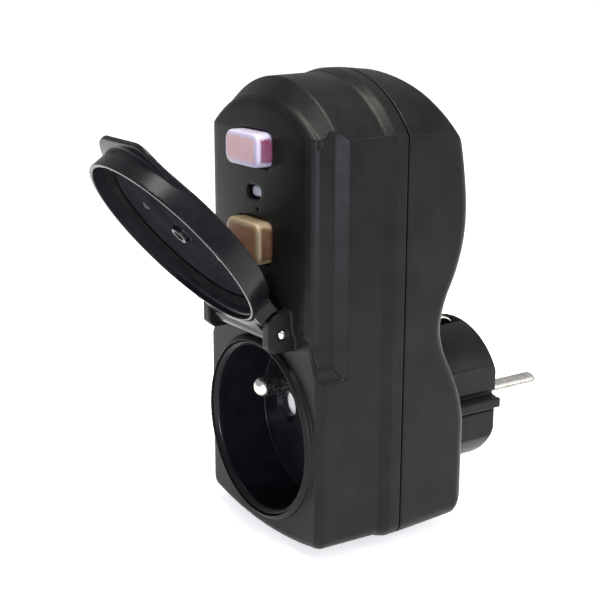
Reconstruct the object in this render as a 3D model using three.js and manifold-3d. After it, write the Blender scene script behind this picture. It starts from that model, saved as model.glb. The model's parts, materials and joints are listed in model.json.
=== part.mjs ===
// Plug-in residual current device with a splash-proof socket.
// Millimetres. X to the right, Y from the socket towards the wall, Z up.
// The origin is the centre of the plug's contact face, on the common axis of plug and socket.

import * as THREE from 'three';
import { mergeVertices } from 'three/addons/utils/BufferGeometryUtils.js';
import { ParametricGeometry } from 'three/addons/geometries/ParametricGeometry.js';
import Module from 'manifold-3d';

const wasm = await Module();
wasm.setup();

// ---- driving dimensions ----

const WALL = 2.2;                 // casing wall
const GAP = 0.3;                  // clearance between touching pieces
const HALF_WIDTH = 25.2;          // casing, behind the side step
const STEP = 0.6;                 // how far the front part of the casing is set in
const DRAFT = 0.6;                // further narrowing of the front part towards its face
const REAR_DRAFT = 0.3;           // narrowing of the rear shell towards the back
const SHOULDER_Z = 70;            // where the straight sides end
const APEX_Z = 83.1;              // top of the arch
const CORNER_Z = -24.4;           // where the curved bottom meets the corner rounding
const CORNER_R = 4;               // rounding of the lower side corners
const BELLY_Z = -26.6;            // lowest point of the curved bottom
const CHAMFER = 4;                // width of the chamfer round the arch
const CHAMFER_DEPTH = 4.6;
const SPLIT_Z = 40;               // above this height the casing has the wide chamfer
const ARC_STEPS = 14;             // segments in each arc of an outline
const FAR = 80;                   // beyond the casing's front, sides and top, for cutting tools

const MOUTH_Y = -61.6;            // rim of the socket collar
const FRONT_Y = -59.65;           // flat front of the lower block
const PANEL_Y = -61.2;            // front of the raised button panel
const STEP_Y = -42.7;             // front edge of the side step
const PARTING_Y = -37.3;          // end of the front shell
const REAR_Y = -17.1;             // flat base of the rear shell
const PANEL_HALF = 21.4;          // half width of the panel
const PANEL_LOW_Z = 23;           // lower edge of the panel
const RECESS_Y = -54.8;           // back of the side recess at the panel
const RECESS_REAR_Y = -50.7;      // back of the side recess at the side wall
const RECESS_LOW_Z = 16.5;        // lower end of the side recess
const FLARE_Z = 30;               // where the panel's sides begin to widen into the lower block
const PANEL_DROP = 4.66;          // top of the panel below the top of the arch
const PANEL_TAPER = 0.6;          // how much less the panel's top is set in than its sides
const FLANK = 1.6;                // width of the slope from the panel down into the side recess

const COLLAR_R = 22.17;           // outside of the socket collar
const MOUTH_R = 20.95;            // bore of the collar, which takes the insert
const WELL_R = 19.6;              // bore of the socket well
const WELL_FLOOR_Y = -46.5;       // floor of the socket well
const WELL_FLOOR = 2.4;           // thickness of that floor
const CONTACT_HOLE_R = 3.1;       // openings for the pins of a plug
const SHUTTER_SHIFT = 5.2;        // shutter holes beside the openings when it is shut
const SLEEVE_BORE = 2.55;         // bore of contact sleeves and of the earth sleeve
const PIN_PITCH = 19;             // between the two pins
const PIN_R = 2.4;
const PIN_LENGTH = 19;
const DOME = 0.9;                 // height of a pin's domed tip, as a share of its radius
const EARTH_Z = 10;               // earth pin above the pin line

const HINGE_Y = -63.05;
const HINGE_Z = 26.85;
const HINGE_BORE = 1.3;
const LUG_R = 5;                  // rounding of the hinge lugs
const LUG_NOSE = 3.6;             // flat front of the lugs before the hinge axis
const LUG_BELOW = 4.2;            // lower end of the lugs below the hinge axis
const LUG_OUTER = 14.8;           // outer face of each hinge lug
const LUG_THICK = 3;
const BARREL_R = 2.7;             // hinge barrel of the lid
const LID_OPEN_DEG = 141;         // opening angle at rest
const LID_REACH = 27.8;           // hinge axis to lid centre
const LID_R = 23.9;
const LID_RIM = 2.65;             // rim of the skirt, towards the socket
const LID_TOP = -3.2;             // outer face of the lid
const LID_FLOOR = LID_TOP + 1.8;  // inner face of the lid
const LID_EDGE_R = LID_R - 0.35;  // lid at the lower side of its lip
const LIP_THICK = 1.15;
const LIP_REACH = 25.3;           // lid centre to the edge of the lip
const LIP_HALF = 6.6;             // half of the straight edge of the lip
const LIP_CORNER = 7;             // rounding of the lip's corners
const LIP_BEND = 16;              // lid centre to where the lip starts to bend outwards
const LIP_LIFT = 0.8;             // how far its tip is bent

const TEST_Z = 66.4;
const TEST_HEIGHT = 7.6;
const RESET_Z = 45.6;
const RESET_HEIGHT = 9.6;
const KEY_WIDTH = 14;
const KEY_CORNER = 2.2;           // rounding of the caps, seen from the front
const CAP_FRONT_Y = -64.7;
const CAP_WALL = 1;
const FLANGE_Y = -58.7;           // front of the caps' flanges, behind the panel
const FLANGE_THICK = 0.7;
const KEY_FLANGE_Y = -57.6;       // front of the keys' flanges
const KEY_FLANGE_THICK = 1.1;
const KEY_STEM_Y = -53.6;         // end of the keys' stems
const LAMP_Z = 56.4;
const LAMP_HALF_WIDTH = 2.45;
const LAMP_HALF_HEIGHT = 1.25;

const BOARD_Y = -47.6;            // front of the circuit board
const BOARD_THICK = 1.6;
const BOARD_HALF = 14.2;
const BOARD_LOW_Z = 28;
const BOARD_HIGH_Z = 74;
const PLUG_R = 18.5;
const PLUG_FLAT = 15.9;
const RIB_REACH = 18.3;           // guide ribs on the plug's flat sides
const RIB_HALF = 1.2;
const RIB_GROOVE = 1.3;           // grooves beside the ribs
const CLIP_HALF = 3;              // half width of the earth clips
const CLIP_SLOT_Z = 15.6;         // bottom of the slots for the earth clips
const CLIP_SLOT_END_Y = -1.6;
const CLIP_THICK = 0.6;
const EARTH_HOLE_R = 3.3;
const PLUG_INNER_Y = -25.8;
const CORE_Y = -33.3;             // axis of the ring core and the trip coil

// ---- materials ----

function material(color, roughness, metalness = 0) {
  return new THREE.MeshStandardMaterial({ color, roughness, metalness });
}

const casingPlastic = () => material(0x17181a, 0.55);
const glossPlastic = () => material(0x101114, 0.25);
const nickel = () => material(0xc9c6bd, 0.25, 1);
const brass = () => material(0xc8a04a, 0.35, 1);
const rubberBlack = () => material(0x202020, 0.85);

// ---- solids ----

// A closed geometry becomes a solid; its faces are turned outwards if they point in.
function solid(geometry) {
  let bare = geometry.index ? geometry.toNonIndexed() : geometry.clone();
  bare.deleteAttribute('normal');
  bare.deleteAttribute('uv');
  bare = mergeVertices(bare, 1e-4);
  const index = [];
  const source = bare.index.array;
  for (let i = 0; i < source.length; i += 3) {
    const [a, b, c] = [source[i], source[i + 1], source[i + 2]];
    if (a !== b && b !== c && c !== a) index.push(a, b, c);
  }
  if (signedVolume(bare.attributes.position, index) < 0) index.reverse();
  const triVerts = Uint32Array.from(index);
  const vertProperties = bare.attributes.position.array;
  return new wasm.Manifold(new wasm.Mesh({ numProp: 3, vertProperties, triVerts }));
}

function signedVolume(position, index) {
  const [a, b, c] = [new THREE.Vector3(), new THREE.Vector3(), new THREE.Vector3()];
  let sum = 0;
  for (let i = 0; i < index.length; i += 3) {
    a.fromBufferAttribute(position, index[i]);
    b.fromBufferAttribute(position, index[i + 1]);
    c.fromBufferAttribute(position, index[i + 2]);
    sum += a.dot(b.cross(c));
  }
  return sum;
}

function geometryOf(body) {
  const mesh = body.getMesh();
  const geometry = new THREE.BufferGeometry();
  geometry.setAttribute('position', new THREE.BufferAttribute(mesh.vertProperties, 3));
  geometry.setIndex(new THREE.BufferAttribute(mesh.triVerts, 1));
  return geometry;
}

function join(...bodies) {
  return bodies.reduce((sum, body) => sum.add(body));
}

function cut(body, ...tools) {
  return tools.reduce((rest, tool) => rest.subtract(tool), body);
}

// Box from its lowest to its highest corner.
function box(low, high) {
  const geometry = new THREE.BoxGeometry(high[0] - low[0], high[1] - low[1], high[2] - low[2]);
  geometry.translate((low[0] + high[0]) / 2, (low[1] + high[1]) / 2, (low[2] + high[2]) / 2);
  return solid(geometry);
}

// Cylinder along Y.
function rod(radius, y0, y1, x = 0, z = 0, sides = 24) {
  const geometry = new THREE.CylinderGeometry(radius, radius, y1 - y0, sides);
  geometry.translate(x, (y0 + y1) / 2, z);
  return solid(geometry);
}

// Cylinder along X.
function crossRod(radius, x0, x1, y, z, sides = 24) {
  const geometry = new THREE.CylinderGeometry(radius, radius, x1 - x0, sides);
  geometry.rotateZ(Math.PI / 2);
  geometry.translate((x0 + x1) / 2, y, z);
  return solid(geometry);
}

// Cylinder along Z.
function post(radius, z0, z1, x, y, sides = 24) {
  const geometry = new THREE.CylinderGeometry(radius, radius, z1 - z0, sides);
  geometry.rotateX(Math.PI / 2);
  geometry.translate(x, y, (z0 + z1) / 2);
  return solid(geometry);
}

// Turned piece about the Y axis; points are [radius, y].
function turned(points, x = 0, z = 0, sides = 40) {
  const profile = points.map(([r, y]) => new THREE.Vector2(r, y));
  const geometry = new THREE.LatheGeometry([...profile, profile[0].clone()], sides);
  geometry.translate(x, 0, z);
  return solid(geometry);
}

// Turned piece about an upright axis; points are [radius, z].
function turnedUpright(points, x, y, sides = 32) {
  const profile = points.map(([r, z]) => new THREE.Vector2(r, z));
  const geometry = new THREE.LatheGeometry([...profile, profile[0].clone()], sides);
  geometry.rotateX(Math.PI / 2);
  geometry.translate(x, y, 0);
  return solid(geometry);
}

// Outline in X and Z, extruded from y0 to y1.
function slab(shape, y0, y1, curveSegments = ARC_STEPS) {
  const geometry = new THREE.ExtrudeGeometry(shape, { depth: y1 - y0, bevelEnabled: false, curveSegments });
  geometry.rotateX(Math.PI / 2);
  geometry.translate(0, y1, 0);
  return solid(geometry);
}

// Outlines in X and Z at several depths, skinned and closed; sections are [inset, y].
function lofted(outlineOf, sections, curveSegments = ARC_STEPS) {
  const rings = sections.map(([inset, y]) => ({ points: outlineOf(inset).getPoints(curveSegments), y }));
  const count = rings[0].points.length;
  const sum = rings[0].points.reduce((total, point) => total.add(point), new THREE.Vector2());
  const centre = sum.divideScalar(count);
  const place = (u, v, target) => {
    const row = Math.round(v * (rings.length + 1));
    const ring = rings[THREE.MathUtils.clamp(row - 1, 0, rings.length - 1)];
    const onCap = row === 0 || row === rings.length + 1;
    const at = onCap ? centre : ring.points[Math.round(u * count) % count];
    target.set(at.x, ring.y, at.y);
  };
  return solid(new ParametricGeometry(place, count, rings.length + 1));
}

// Outline in Y and Z, extruded from x0 to x1.
function profileAcross(shape, x0, x1, curveSegments = 12) {
  const geometry = new THREE.ExtrudeGeometry(shape, { depth: x1 - x0, bevelEnabled: false, curveSegments });
  const [ax, ay, az] = [new THREE.Vector3(0, 1, 0), new THREE.Vector3(0, 0, 1), new THREE.Vector3(1, 0, 0)];
  geometry.applyMatrix4(new THREE.Matrix4().makeBasis(ax, ay, az));
  geometry.translate(x0, 0, 0);
  return solid(geometry);
}

// Outline in X and Y, extruded from z0 to z1.
function plan(shape, z0, z1) {
  const geometry = new THREE.ExtrudeGeometry(shape, { depth: z1 - z0, bevelEnabled: false });
  geometry.translate(0, 0, z0);
  return solid(geometry);
}

function ordered(a, b) {
  return [Math.min(a, b), Math.max(a, b)];
}

function polygon(points) {
  return new THREE.Shape(points.map(([a, b]) => new THREE.Vector2(a, b)));
}

function roundedRectangle(halfWidth, halfHeight, radius, x = 0, z = 0) {
  const shape = new THREE.Shape();
  const [w, h, r] = [halfWidth, halfHeight, radius];
  shape.absarc(x + w - r, z + h - r, r, 0, Math.PI / 2);
  shape.absarc(x - w + r, z + h - r, r, Math.PI / 2, Math.PI);
  shape.absarc(x - w + r, z - h + r, r, Math.PI, Math.PI * 1.5);
  shape.absarc(x + w - r, z - h + r, r, Math.PI * 1.5, Math.PI * 2);
  return shape;
}

// Arc centre and radius through a chord of the given half width and a rise above it.
function arcOver(half, rise) {
  const radius = (half * half + rise * rise) / (2 * rise);
  return { radius, drop: radius - rise };
}

// Front outline of the casing, set in by the given amount: curved bottom, straight sides, arch top.
function casingOutline(inset) {
  const half = HALF_WIDTH - inset;
  const round = Math.max(CORNER_R - inset, 0.5);
  const flat = half - round;
  const top = arcOver(half, APEX_Z - inset - SHOULDER_Z);
  const bottom = arcOver(flat, CORNER_Z - BELLY_Z);
  const topAngle = Math.asin(half / top.radius);
  const bottomAngle = Math.asin(flat / bottom.radius);
  const shape = new THREE.Shape();
  const bottomCentre = CORNER_Z + inset + bottom.drop;
  const cornerZ = CORNER_Z + inset + round;
  shape.absarc(-flat, cornerZ, round, -Math.PI, -Math.PI / 2);
  shape.absarc(0, bottomCentre, bottom.radius, -Math.PI / 2 - bottomAngle, -Math.PI / 2 + bottomAngle);
  shape.absarc(flat, cornerZ, round, -Math.PI / 2, 0);
  shape.absarc(0, SHOULDER_Z - top.drop, top.radius, Math.PI / 2 - topAngle, Math.PI / 2 + topAngle);
  return shape;
}

function above(z) {
  return box([-FAR, -FAR, z], [FAR, FAR, 2 * FAR]);
}

// ---- casing ----

function capOpening(z, height) {
  const outline = roundedRectangle(KEY_WIDTH / 2 + GAP, height / 2 + GAP, KEY_CORNER, 0, z);
  return slab(outline, -FAR, PANEL_Y + 6, 6);
}

// Plan of the side recess: slope off the panel, flank, then back out to the side wall.
function recessPlan(side) {
  const corners = [
    [PANEL_HALF - FLANK, -FAR],
    [PANEL_HALF - FLANK, PANEL_Y + 2.2],
    [PANEL_HALF + 0.5, PANEL_Y + 2.8],
    [PANEL_HALF + 0.5, RECESS_Y],
    [HALF_WIDTH, RECESS_REAR_Y],
    [FAR, RECESS_REAR_Y],
    [FAR, -FAR],
  ];
  return polygon(corners.map(([x, y]) => [side * x, y]));
}

// Side view of the recess, with its rounded lower end.
function recessProfile(top) {
  const shape = new THREE.Shape();
  shape.moveTo(-FAR, RECESS_LOW_Z);
  shape.lineTo(RECESS_REAR_Y - 5, RECESS_LOW_Z);
  shape.quadraticCurveTo(RECESS_REAR_Y, RECESS_LOW_Z, RECESS_REAR_Y, RECESS_LOW_Z + 7);
  shape.lineTo(RECESS_REAR_Y, top);
  shape.lineTo(-FAR, top);
  return shape;
}

// Front view of the recess, which ends in a curve that widens to the lower block.
function recessFlare(side, top) {
  const [inner, low] = [PANEL_HALF - FLANK, RECESS_LOW_Z - 0.5];
  const shape = new THREE.Shape();
  shape.moveTo(side * (PANEL_HALF + 0.5), top);
  shape.lineTo(side * (PANEL_HALF + 0.5), top - 1);
  shape.lineTo(side * inner, top - 4);
  shape.lineTo(side * inner, FLARE_Z);
  shape.quadraticCurveTo(side * (inner + 0.8), low + 2, side * (HALF_WIDTH + 0.3), low);
  shape.lineTo(side * FAR, low);
  shape.lineTo(side * FAR, top);
  return shape;
}

function sideRecess(side) {
  const top = SHOULDER_Z + 1.5;
  const footprint = plan(recessPlan(side), 0, FAR);
  const seenFromSide = profileAcross(recessProfile(top), -FAR, FAR, 6);
  const seenFromFront = slab(recessFlare(side, top), -FAR, PARTING_Y, 8);
  return footprint.intersect(seenFromSide).intersect(seenFromFront);
}

function panelOutline(inset) {
  const half = PANEL_HALF - inset;
  const low = PANEL_LOW_Z + inset;
  const top = arcOver(half, APEX_Z - PANEL_DROP - SHOULDER_Z - inset * PANEL_TAPER);
  const topAngle = Math.asin(half / top.radius);
  const shape = new THREE.Shape();
  shape.moveTo(-half, low + 2.5);
  shape.quadraticCurveTo(0, low - 2.5, half, low + 2.5);
  shape.absarc(0, SHOULDER_Z - top.drop, top.radius, Math.PI / 2 - topAngle, Math.PI / 2 + topAngle);
  return shape;
}

function panelBulge() {
  const edge = [[6.5, PANEL_Y], [2.4, PANEL_Y + 0.7], [0.9, PANEL_Y + 1.5], [0, PANEL_Y + 2.3],
    [0, FRONT_Y + 5]];
  return lofted(panelOutline, edge, 16);
}

function hingeLug(side) {
  const shape = new THREE.Shape();
  shape.moveTo(FRONT_Y + 2, HINGE_Z - LUG_BELOW);
  shape.lineTo(FRONT_Y + 2, HINGE_Z + LUG_R);
  shape.lineTo(HINGE_Y, HINGE_Z + LUG_R);
  shape.absarc(HINGE_Y, HINGE_Z, LUG_R, Math.PI / 2, Math.PI * 0.75);
  shape.lineTo(HINGE_Y - LUG_NOSE, HINGE_Z + 2.4);
  shape.lineTo(HINGE_Y - LUG_NOSE, HINGE_Z - LUG_BELOW + 1.4);
  shape.lineTo(HINGE_Y - LUG_NOSE + 1.4, HINGE_Z - LUG_BELOW);
  const plate = profileAcross(shape, ...ordered(side * (LUG_OUTER - LUG_THICK), side * LUG_OUTER), 8);
  return cut(plate, crossRod(HINGE_BORE, -FAR, FAR, HINGE_Y, HINGE_Z, 16));
}

// Screw places: x, z, and the depth of the back there.
const SCREW_X = 19.4;
const SCREW_LOW_Z = -16.6;
const SCREW_HIGH_Z = 55;
const SCREW_HIGH_Y = -18.4;
const SCREW_PLACES = [[-SCREW_X, SCREW_LOW_Z, REAR_Y], [SCREW_X, SCREW_LOW_Z, REAR_Y],
  [-SCREW_X, SCREW_HIGH_Z, SCREW_HIGH_Y], [SCREW_X, SCREW_HIGH_Z, SCREW_HIGH_Y]];
const POST_R = 3;                 // screw posts of the front shell
const POST_BORE = 1.6;
const TOWER_R = 4.2;              // screw towers of the rear shell
const TOWER_BORE = 1.9;
const SCREW_SINK = 4.5;           // depth of the holes the screw heads sit in
const SINK_R = 3.1;
const SCREW_R = 1.3;
const SCREW_LENGTH = 20;
const HEAD_R = 2.8;
const HEAD_HEIGHT = 2.2;
const HEAD_BELOW = 4.2;           // underside of the screw head below the back
const SLOT_HALF_LENGTH = 1.6;
const SLOT_HALF_WIDTH = 0.4;

function screwPost([x, z]) {
  const start = z > 0 ? RECESS_REAR_Y - 0.8 : FRONT_Y + 3;
  const tube = rod(POST_R, start, PARTING_Y, x, z, 14);
  return cut(tube, rod(POST_BORE, FRONT_Y + 7, PARTING_Y + 1, x, z, 12));
}

// Front of the casing: an arch with a wide chamfer above, a block with a small rounding below.
function frontBody() {
  const setIn = (inset) => casingOutline(STEP + inset);
  const tail = [0, PARTING_Y + 6];
  const chamfer = [[CHAMFER + DRAFT, FRONT_Y], [DRAFT, FRONT_Y + CHAMFER_DEPTH], tail];
  const upper = lofted(setIn, chamfer).intersect(above(SPLIT_Z));
  const rim = [[1.6, FRONT_Y], [0.5, FRONT_Y + 0.5], [0, FRONT_Y + 1.6]];
  const lower = lofted(setIn, [...rim.map(([inset, y]) => [inset + DRAFT, y]), tail]);
  const band = lofted(casingOutline, [[STEP + 0.05, STEP_Y], [0, STEP_Y + 2.3], [0, PARTING_Y + 4]]);
  return join(upper, cut(lower, above(SHOULDER_Z - 2)), band);
}

function socketCollar() {
  return turned([[MOUTH_R - 2, FRONT_Y + 3], [COLLAR_R, FRONT_Y + 3], [COLLAR_R, MOUTH_Y + 1.1],
    [MOUTH_R, MOUTH_Y], [MOUTH_R - 2, MOUTH_Y]], 0, 0, 56);
}

// Inside of the front shell: narrow behind the panel, wide behind the side recess.
function frontHollows() {
  const step = RECESS_REAR_Y + 1;
  const narrow = slab(casingOutline(STEP + 6.5), PANEL_Y + WALL, step + 0.1).intersect(above(-18));
  return [narrow, slab(casingOutline(STEP + WALL), step, PARTING_Y + 2)];
}

function frontOpenings() {
  const lampWindow = roundedRectangle(LAMP_HALF_WIDTH + 0.35, LAMP_HALF_HEIGHT + GAP, 1.5, 0, LAMP_Z);
  const troughEnd = LUG_OUTER - LUG_THICK;
  return [
    rod(MOUTH_R, -FAR, -30, 0, 0, 56),
    outlineRing(0.65, 1.85, PARTING_Y - 1.5, PARTING_Y + 1),
    crossRod(BARREL_R + 0.4, -troughEnd, troughEnd, HINGE_Y, HINGE_Z),
    capOpening(TEST_Z, TEST_HEIGHT),
    capOpening(RESET_Z, RESET_HEIGHT),
    slab(lampWindow, -FAR, PANEL_Y + 6, 6),
  ];
}

function frontShell() {
  const behind = box([-FAR, PARTING_Y, -FAR], [FAR, FAR, 2 * FAR]);
  const recessed = cut(frontBody(), sideRecess(1), sideRecess(-1));
  const whole = cut(join(recessed, panelBulge(), socketCollar()), behind);
  const hollow = cut(whole, ...frontHollows());
  const fitted = join(hollow, ...SCREW_PLACES.map(screwPost), hingeLug(1), hingeLug(-1));
  return cut(fitted, ...frontOpenings());
}

// Depth of the rear shell at each height: roof, bulge, waist, then the flat base.
const REAR_DEPTH = new THREE.CatmullRomCurve3([
  [APEX_Z + 1, -28.5], [79.5, -24.6], [75, -22.6], [68, -20.5], [60, -19], [52, -18.2], [45, -18.6],
  [38, -20.5], [31, -23.6], [25, -24.9], [19.5, -23.8], [13, -20.7], [7, -18.2], [1, REAR_Y],
  [-6, REAR_Y], [BELLY_Z - 1, REAR_Y],
].map(([z, y]) => new THREE.Vector3(0, y, z)), false, 'centripetal');
const REAR_SAMPLES = REAR_DEPTH.getPoints(160);

function rearDepth(z) {
  const next = REAR_SAMPLES.findIndex((point) => point.z <= z);
  if (next <= 0) return next === 0 ? REAR_SAMPLES[0].y : REAR_Y;
  const [a, b] = [REAR_SAMPLES[next - 1], REAR_SAMPLES[next]];
  return THREE.MathUtils.lerp(a.y, b.y, (a.z - z) / (a.z - b.z));
}

// Rings of the rear shell, from the centre of its open face round the rim to the centre of its back.
const REAR_EDGE = 3.4;             // radius of the rounded rear edge
const EDGE_RINGS = 4;
const REAR_POINTS = 72;
const BACK_RINGS = [0.6, 0.42, 0.24, 0.1, 0];
const REAR_CENTRE_Z = 30;

function rearBody(inset) {
  const outline = casingOutline(inset).getSpacedPoints(REAR_POINTS);
  const rings = [{ scale: 0, front: true }, { scale: 1, front: true }];
  for (let i = 0; i <= EDGE_RINGS; i += 1) {
    const angle = (i / EDGE_RINGS) * Math.PI / 2;
    const edge = REAR_EDGE - inset;
    const half = HALF_WIDTH - inset;
    const narrowing = REAR_DRAFT + edge * (1 - Math.cos(angle));
    rings.push({ scale: 1 - narrowing / half, drop: edge * (1 - Math.sin(angle)) });
  }
  BACK_RINGS.forEach((scale) => rings.push({ scale, drop: 0 }));
  const place = (u, v, target) => {
    const at = outline[Math.round(u * REAR_POINTS) % REAR_POINTS];
    const ring = rings[Math.round(v * (rings.length - 1))];
    const x = at.x * ring.scale;
    const z = REAR_CENTRE_Z + (at.y - REAR_CENTRE_Z) * ring.scale;
    const back = rearDepth(z) - inset - (ring.drop ?? 0);
    const front = PARTING_Y + GAP - (inset > 0 ? 2 : 0);
    target.set(x, ring.front ? front : Math.max(back, front + 0.5), z);
  };
  return solid(new ParametricGeometry(place, REAR_POINTS, rings.length - 1));
}

function rearShell() {
  let shell = cut(rearBody(0), rearBody(WALL));
  for (const [x, z, y] of SCREW_PLACES) {
    const tower = rod(TOWER_R, PARTING_Y + 1, y - 1.5, x, z, 16);
    shell = join(shell, tower.intersect(rearBody(0.8)));
  }
  for (const [x, z, y] of SCREW_PLACES) {
    const bore = rod(TOWER_BORE, PARTING_Y - 5, 0, x, z, 14);
    shell = cut(shell, bore, rod(SINK_R, y - SCREW_SINK, 5, x, z, 18));
  }
  return cut(shell, rod(PLUG_R + GAP, PARTING_Y - 5, 5, 0, 0, 48));
}

// Ring of the casing outline between two insets.
function outlineRing(outerInset, innerInset, y0, y1) {
  const outer = slab(casingOutline(outerInset), y0, y1, 16);
  return cut(outer, slab(casingOutline(innerInset), y0 - 1, y1 + 1, 16));
}

function casingSeal() {
  return outlineRing(0.9, 1.6, PARTING_Y - 1.2, PARTING_Y + 0.05);
}

function casingScrew([x, z, y]) {
  const head = y - HEAD_BELOW;
  const tip = head - SCREW_LENGTH;
  const body = turned([[0, tip], [SCREW_R, tip + 1], [SCREW_R, head], [HEAD_R, head], [HEAD_R, head + 1.2],
    [2.1, head + HEAD_HEIGHT], [0, head + HEAD_HEIGHT]], x, z, 18);
  const [a, b] = [SLOT_HALF_LENGTH, SLOT_HALF_WIDTH];
  const slotAcross = box([x - a, head + 1, z - b], [x + a, head + 4, z + b]);
  const slotUpright = box([x - b, head + 1, z - a], [x + b, head + 4, z + a]);
  return cut(body, slotAcross, slotUpright);
}

// ---- socket ----

function socketInsert() {
  const cup = turned([[0, WELL_FLOOR_Y], [WELL_R, WELL_FLOOR_Y], [WELL_R, MOUTH_Y + 1.6],
    [WELL_R + 0.9, MOUTH_Y + 0.7], [MOUTH_R - GAP, MOUTH_Y + 0.7], [MOUTH_R - GAP, WELL_FLOOR_Y + WELL_FLOOR],
    [0, WELL_FLOOR_Y + WELL_FLOOR]], 0, 0, 56);
  const [before, behind] = [WELL_FLOOR_Y - 5, WELL_FLOOR_Y + 5];
  const holes = [-1, 1].map((side) => rod(CONTACT_HOLE_R, before, behind, side * PIN_PITCH / 2, 0, 24));
  return cut(cup, ...holes, rod(PIN_R + GAP, before, behind, 0, EARTH_Z, 20));
}

function safetyShutter() {
  const front = WELL_FLOOR_Y + WELL_FLOOR + 0.4;
  const plate = slab(roundedRectangle(16, 4, 1.5, 2.4, 0), front, front + 1.2, 5);
  const holeX = (side) => side * PIN_PITCH / 2 + SHUTTER_SHIFT;
  const hole = (side) => rod(CONTACT_HOLE_R - 0.2, front - 5, front + 5, holeX(side), 0, 20);
  return cut(plate, hole(-1), hole(1));
}

// Slotted sleeve that grips one pin of a plug.
function contactSleeve(side) {
  const [front, back] = [-41.8, -30];
  const x = side * PIN_PITCH / 2;
  const tube = turned([[SLEEVE_BORE, front], [3.3, front], [3.3, back], [SLEEVE_BORE, back]], x, 0, 20);
  return cut(tube, box([x - 0.4, front - 1, 0], [x + 0.4, back - 3, 5]));
}

function domedPin(tipY, rootY, x, z) {
  const profile = [[0, tipY]];
  const forward = Math.sign(rootY - tipY);
  for (let i = 1; i <= 5; i += 1) {
    const angle = (i / 5) * Math.PI / 2;
    profile.push([PIN_R * Math.sin(angle), tipY + forward * PIN_R * DOME * (1 - Math.cos(angle))]);
  }
  profile.push([PIN_R, rootY], [0, rootY]);
  return turned(profile, x, z, 24);
}

// Strap from the earth pin back to the plug's upper earth clip.
function earthStrap() {
  const half = 3;
  const [top, thick, front] = [14.2, 1, -38.6];
  const low = EARTH_Z - 3.4;
  const plate = slab(polygon([[-half, low], [half, low], [half, top], [-half, top]]), front, front + thick);
  const arm = box([-half, front, top - thick], [half, -26.2, top]);
  return join(plate, arm);
}

// ---- lid ----
// The lid is drawn closed, with its hinge axis at the origin and its centre below it.

const LID_CENTRE = -LID_REACH;
const BARREL_HALF = LUG_OUTER - LUG_THICK - GAP;

function lidDisc() {
  const outside = [[0, LID_TOP], [LID_R - 1.6, LID_TOP], [LID_R - 0.6, LID_TOP + 0.4],
    [LID_EDGE_R, LID_TOP + 1.1]];
  const inside = [[LID_R, LID_RIM], [LID_R - 1, LID_RIM], [LID_R - 1.3, LID_FLOOR], [0, LID_FLOOR]];
  return turned([...outside, ...inside], 0, LID_CENTRE, 56);
}

// Edge of the lid with its lip, which leaves the edge along its tangents and rounds off at both corners.
function lipOutline() {
  const middle = LIP_REACH - LIP_CORNER;
  const spread = Math.acos((LID_R - LIP_CORNER) / Math.hypot(LIP_HALF, middle));
  const turn = Math.atan2(LIP_HALF, middle) + spread;
  const down = -Math.PI / 2;
  const shape = new THREE.Shape();
  shape.absarc(-LIP_HALF, LID_CENTRE - middle, LIP_CORNER, down - turn, down);
  shape.absarc(LIP_HALF, LID_CENTRE - middle, LIP_CORNER, down, down + turn);
  shape.absarc(0, LID_CENTRE, LID_EDGE_R, down + turn, down - turn + 2 * Math.PI);
  return shape;
}

// Flange round the lid, running out into the lip, with its tip bent slightly outwards.
function lidFlange() {
  return slab(lipOutline(), LID_TOP, LID_TOP + LIP_THICK, 20).warp((point) => {
    const beyond = Math.max(0, LID_CENTRE - LIP_BEND - point[2]) / (LIP_REACH - LIP_BEND);
    point[1] -= LIP_LIFT * beyond ** 2;
  });
}

// Tongue from the skirt to the hinge, kept clear of the lugs.
function lidBridge() {
  const tongueHalf = LUG_OUTER - 0.4;
  const tongue = box([-tongueHalf, LID_TOP + 0.2, -8.5], [tongueHalf, LID_RIM - 0.4, -2.2]);
  const arm = box([-BARREL_HALF, -2.4, -6], [BARREL_HALF, 2, -1]);
  const inside = rod(LID_R - 1, LID_FLOOR, 10, 0, LID_CENTRE, 56);
  const sweep = LUG_R + 0.5;
  const left = crossRod(sweep, -30, -BARREL_HALF, 0, 0, 28);
  const right = crossRod(sweep, BARREL_HALF, 30, 0, 0, 28);
  return cut(join(tongue, arm), inside, left, right);
}

function lid() {
  const [foot, end] = [LID_TOP + 1, LID_TOP + 3.2];
  const hub = turned([[0, foot], [2.6, foot], [2.2, end], [0, end]], 0, LID_CENTRE, 20);
  const barrel = crossRod(BARREL_R, -BARREL_HALF, BARREL_HALF, 0, 0, 20);
  const whole = join(lidDisc(), lidFlange(), hub, lidBridge(), barrel);
  // Relief inside the skirt, so that the closed lid clears the collar.
  const relief = rod(COLLAR_R + GAP, MOUTH_Y - HINGE_Y - GAP, 10, 0, -HINGE_Z, 56);
  return cut(whole, relief, crossRod(HINGE_BORE, -30, 30, 0, 0, 16));
}

function lidSeal() {
  const [inner, outer] = [LID_R - 4.1, LID_R - 1.7];
  const [base, top] = [LID_FLOOR + GAP, LID_FLOOR + GAP + 1.2];
  return turned([[inner, base], [outer, base], [outer, top], [outer - 0.5, top]], 0, LID_CENTRE, 48);
}

// ---- buttons ----

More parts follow.
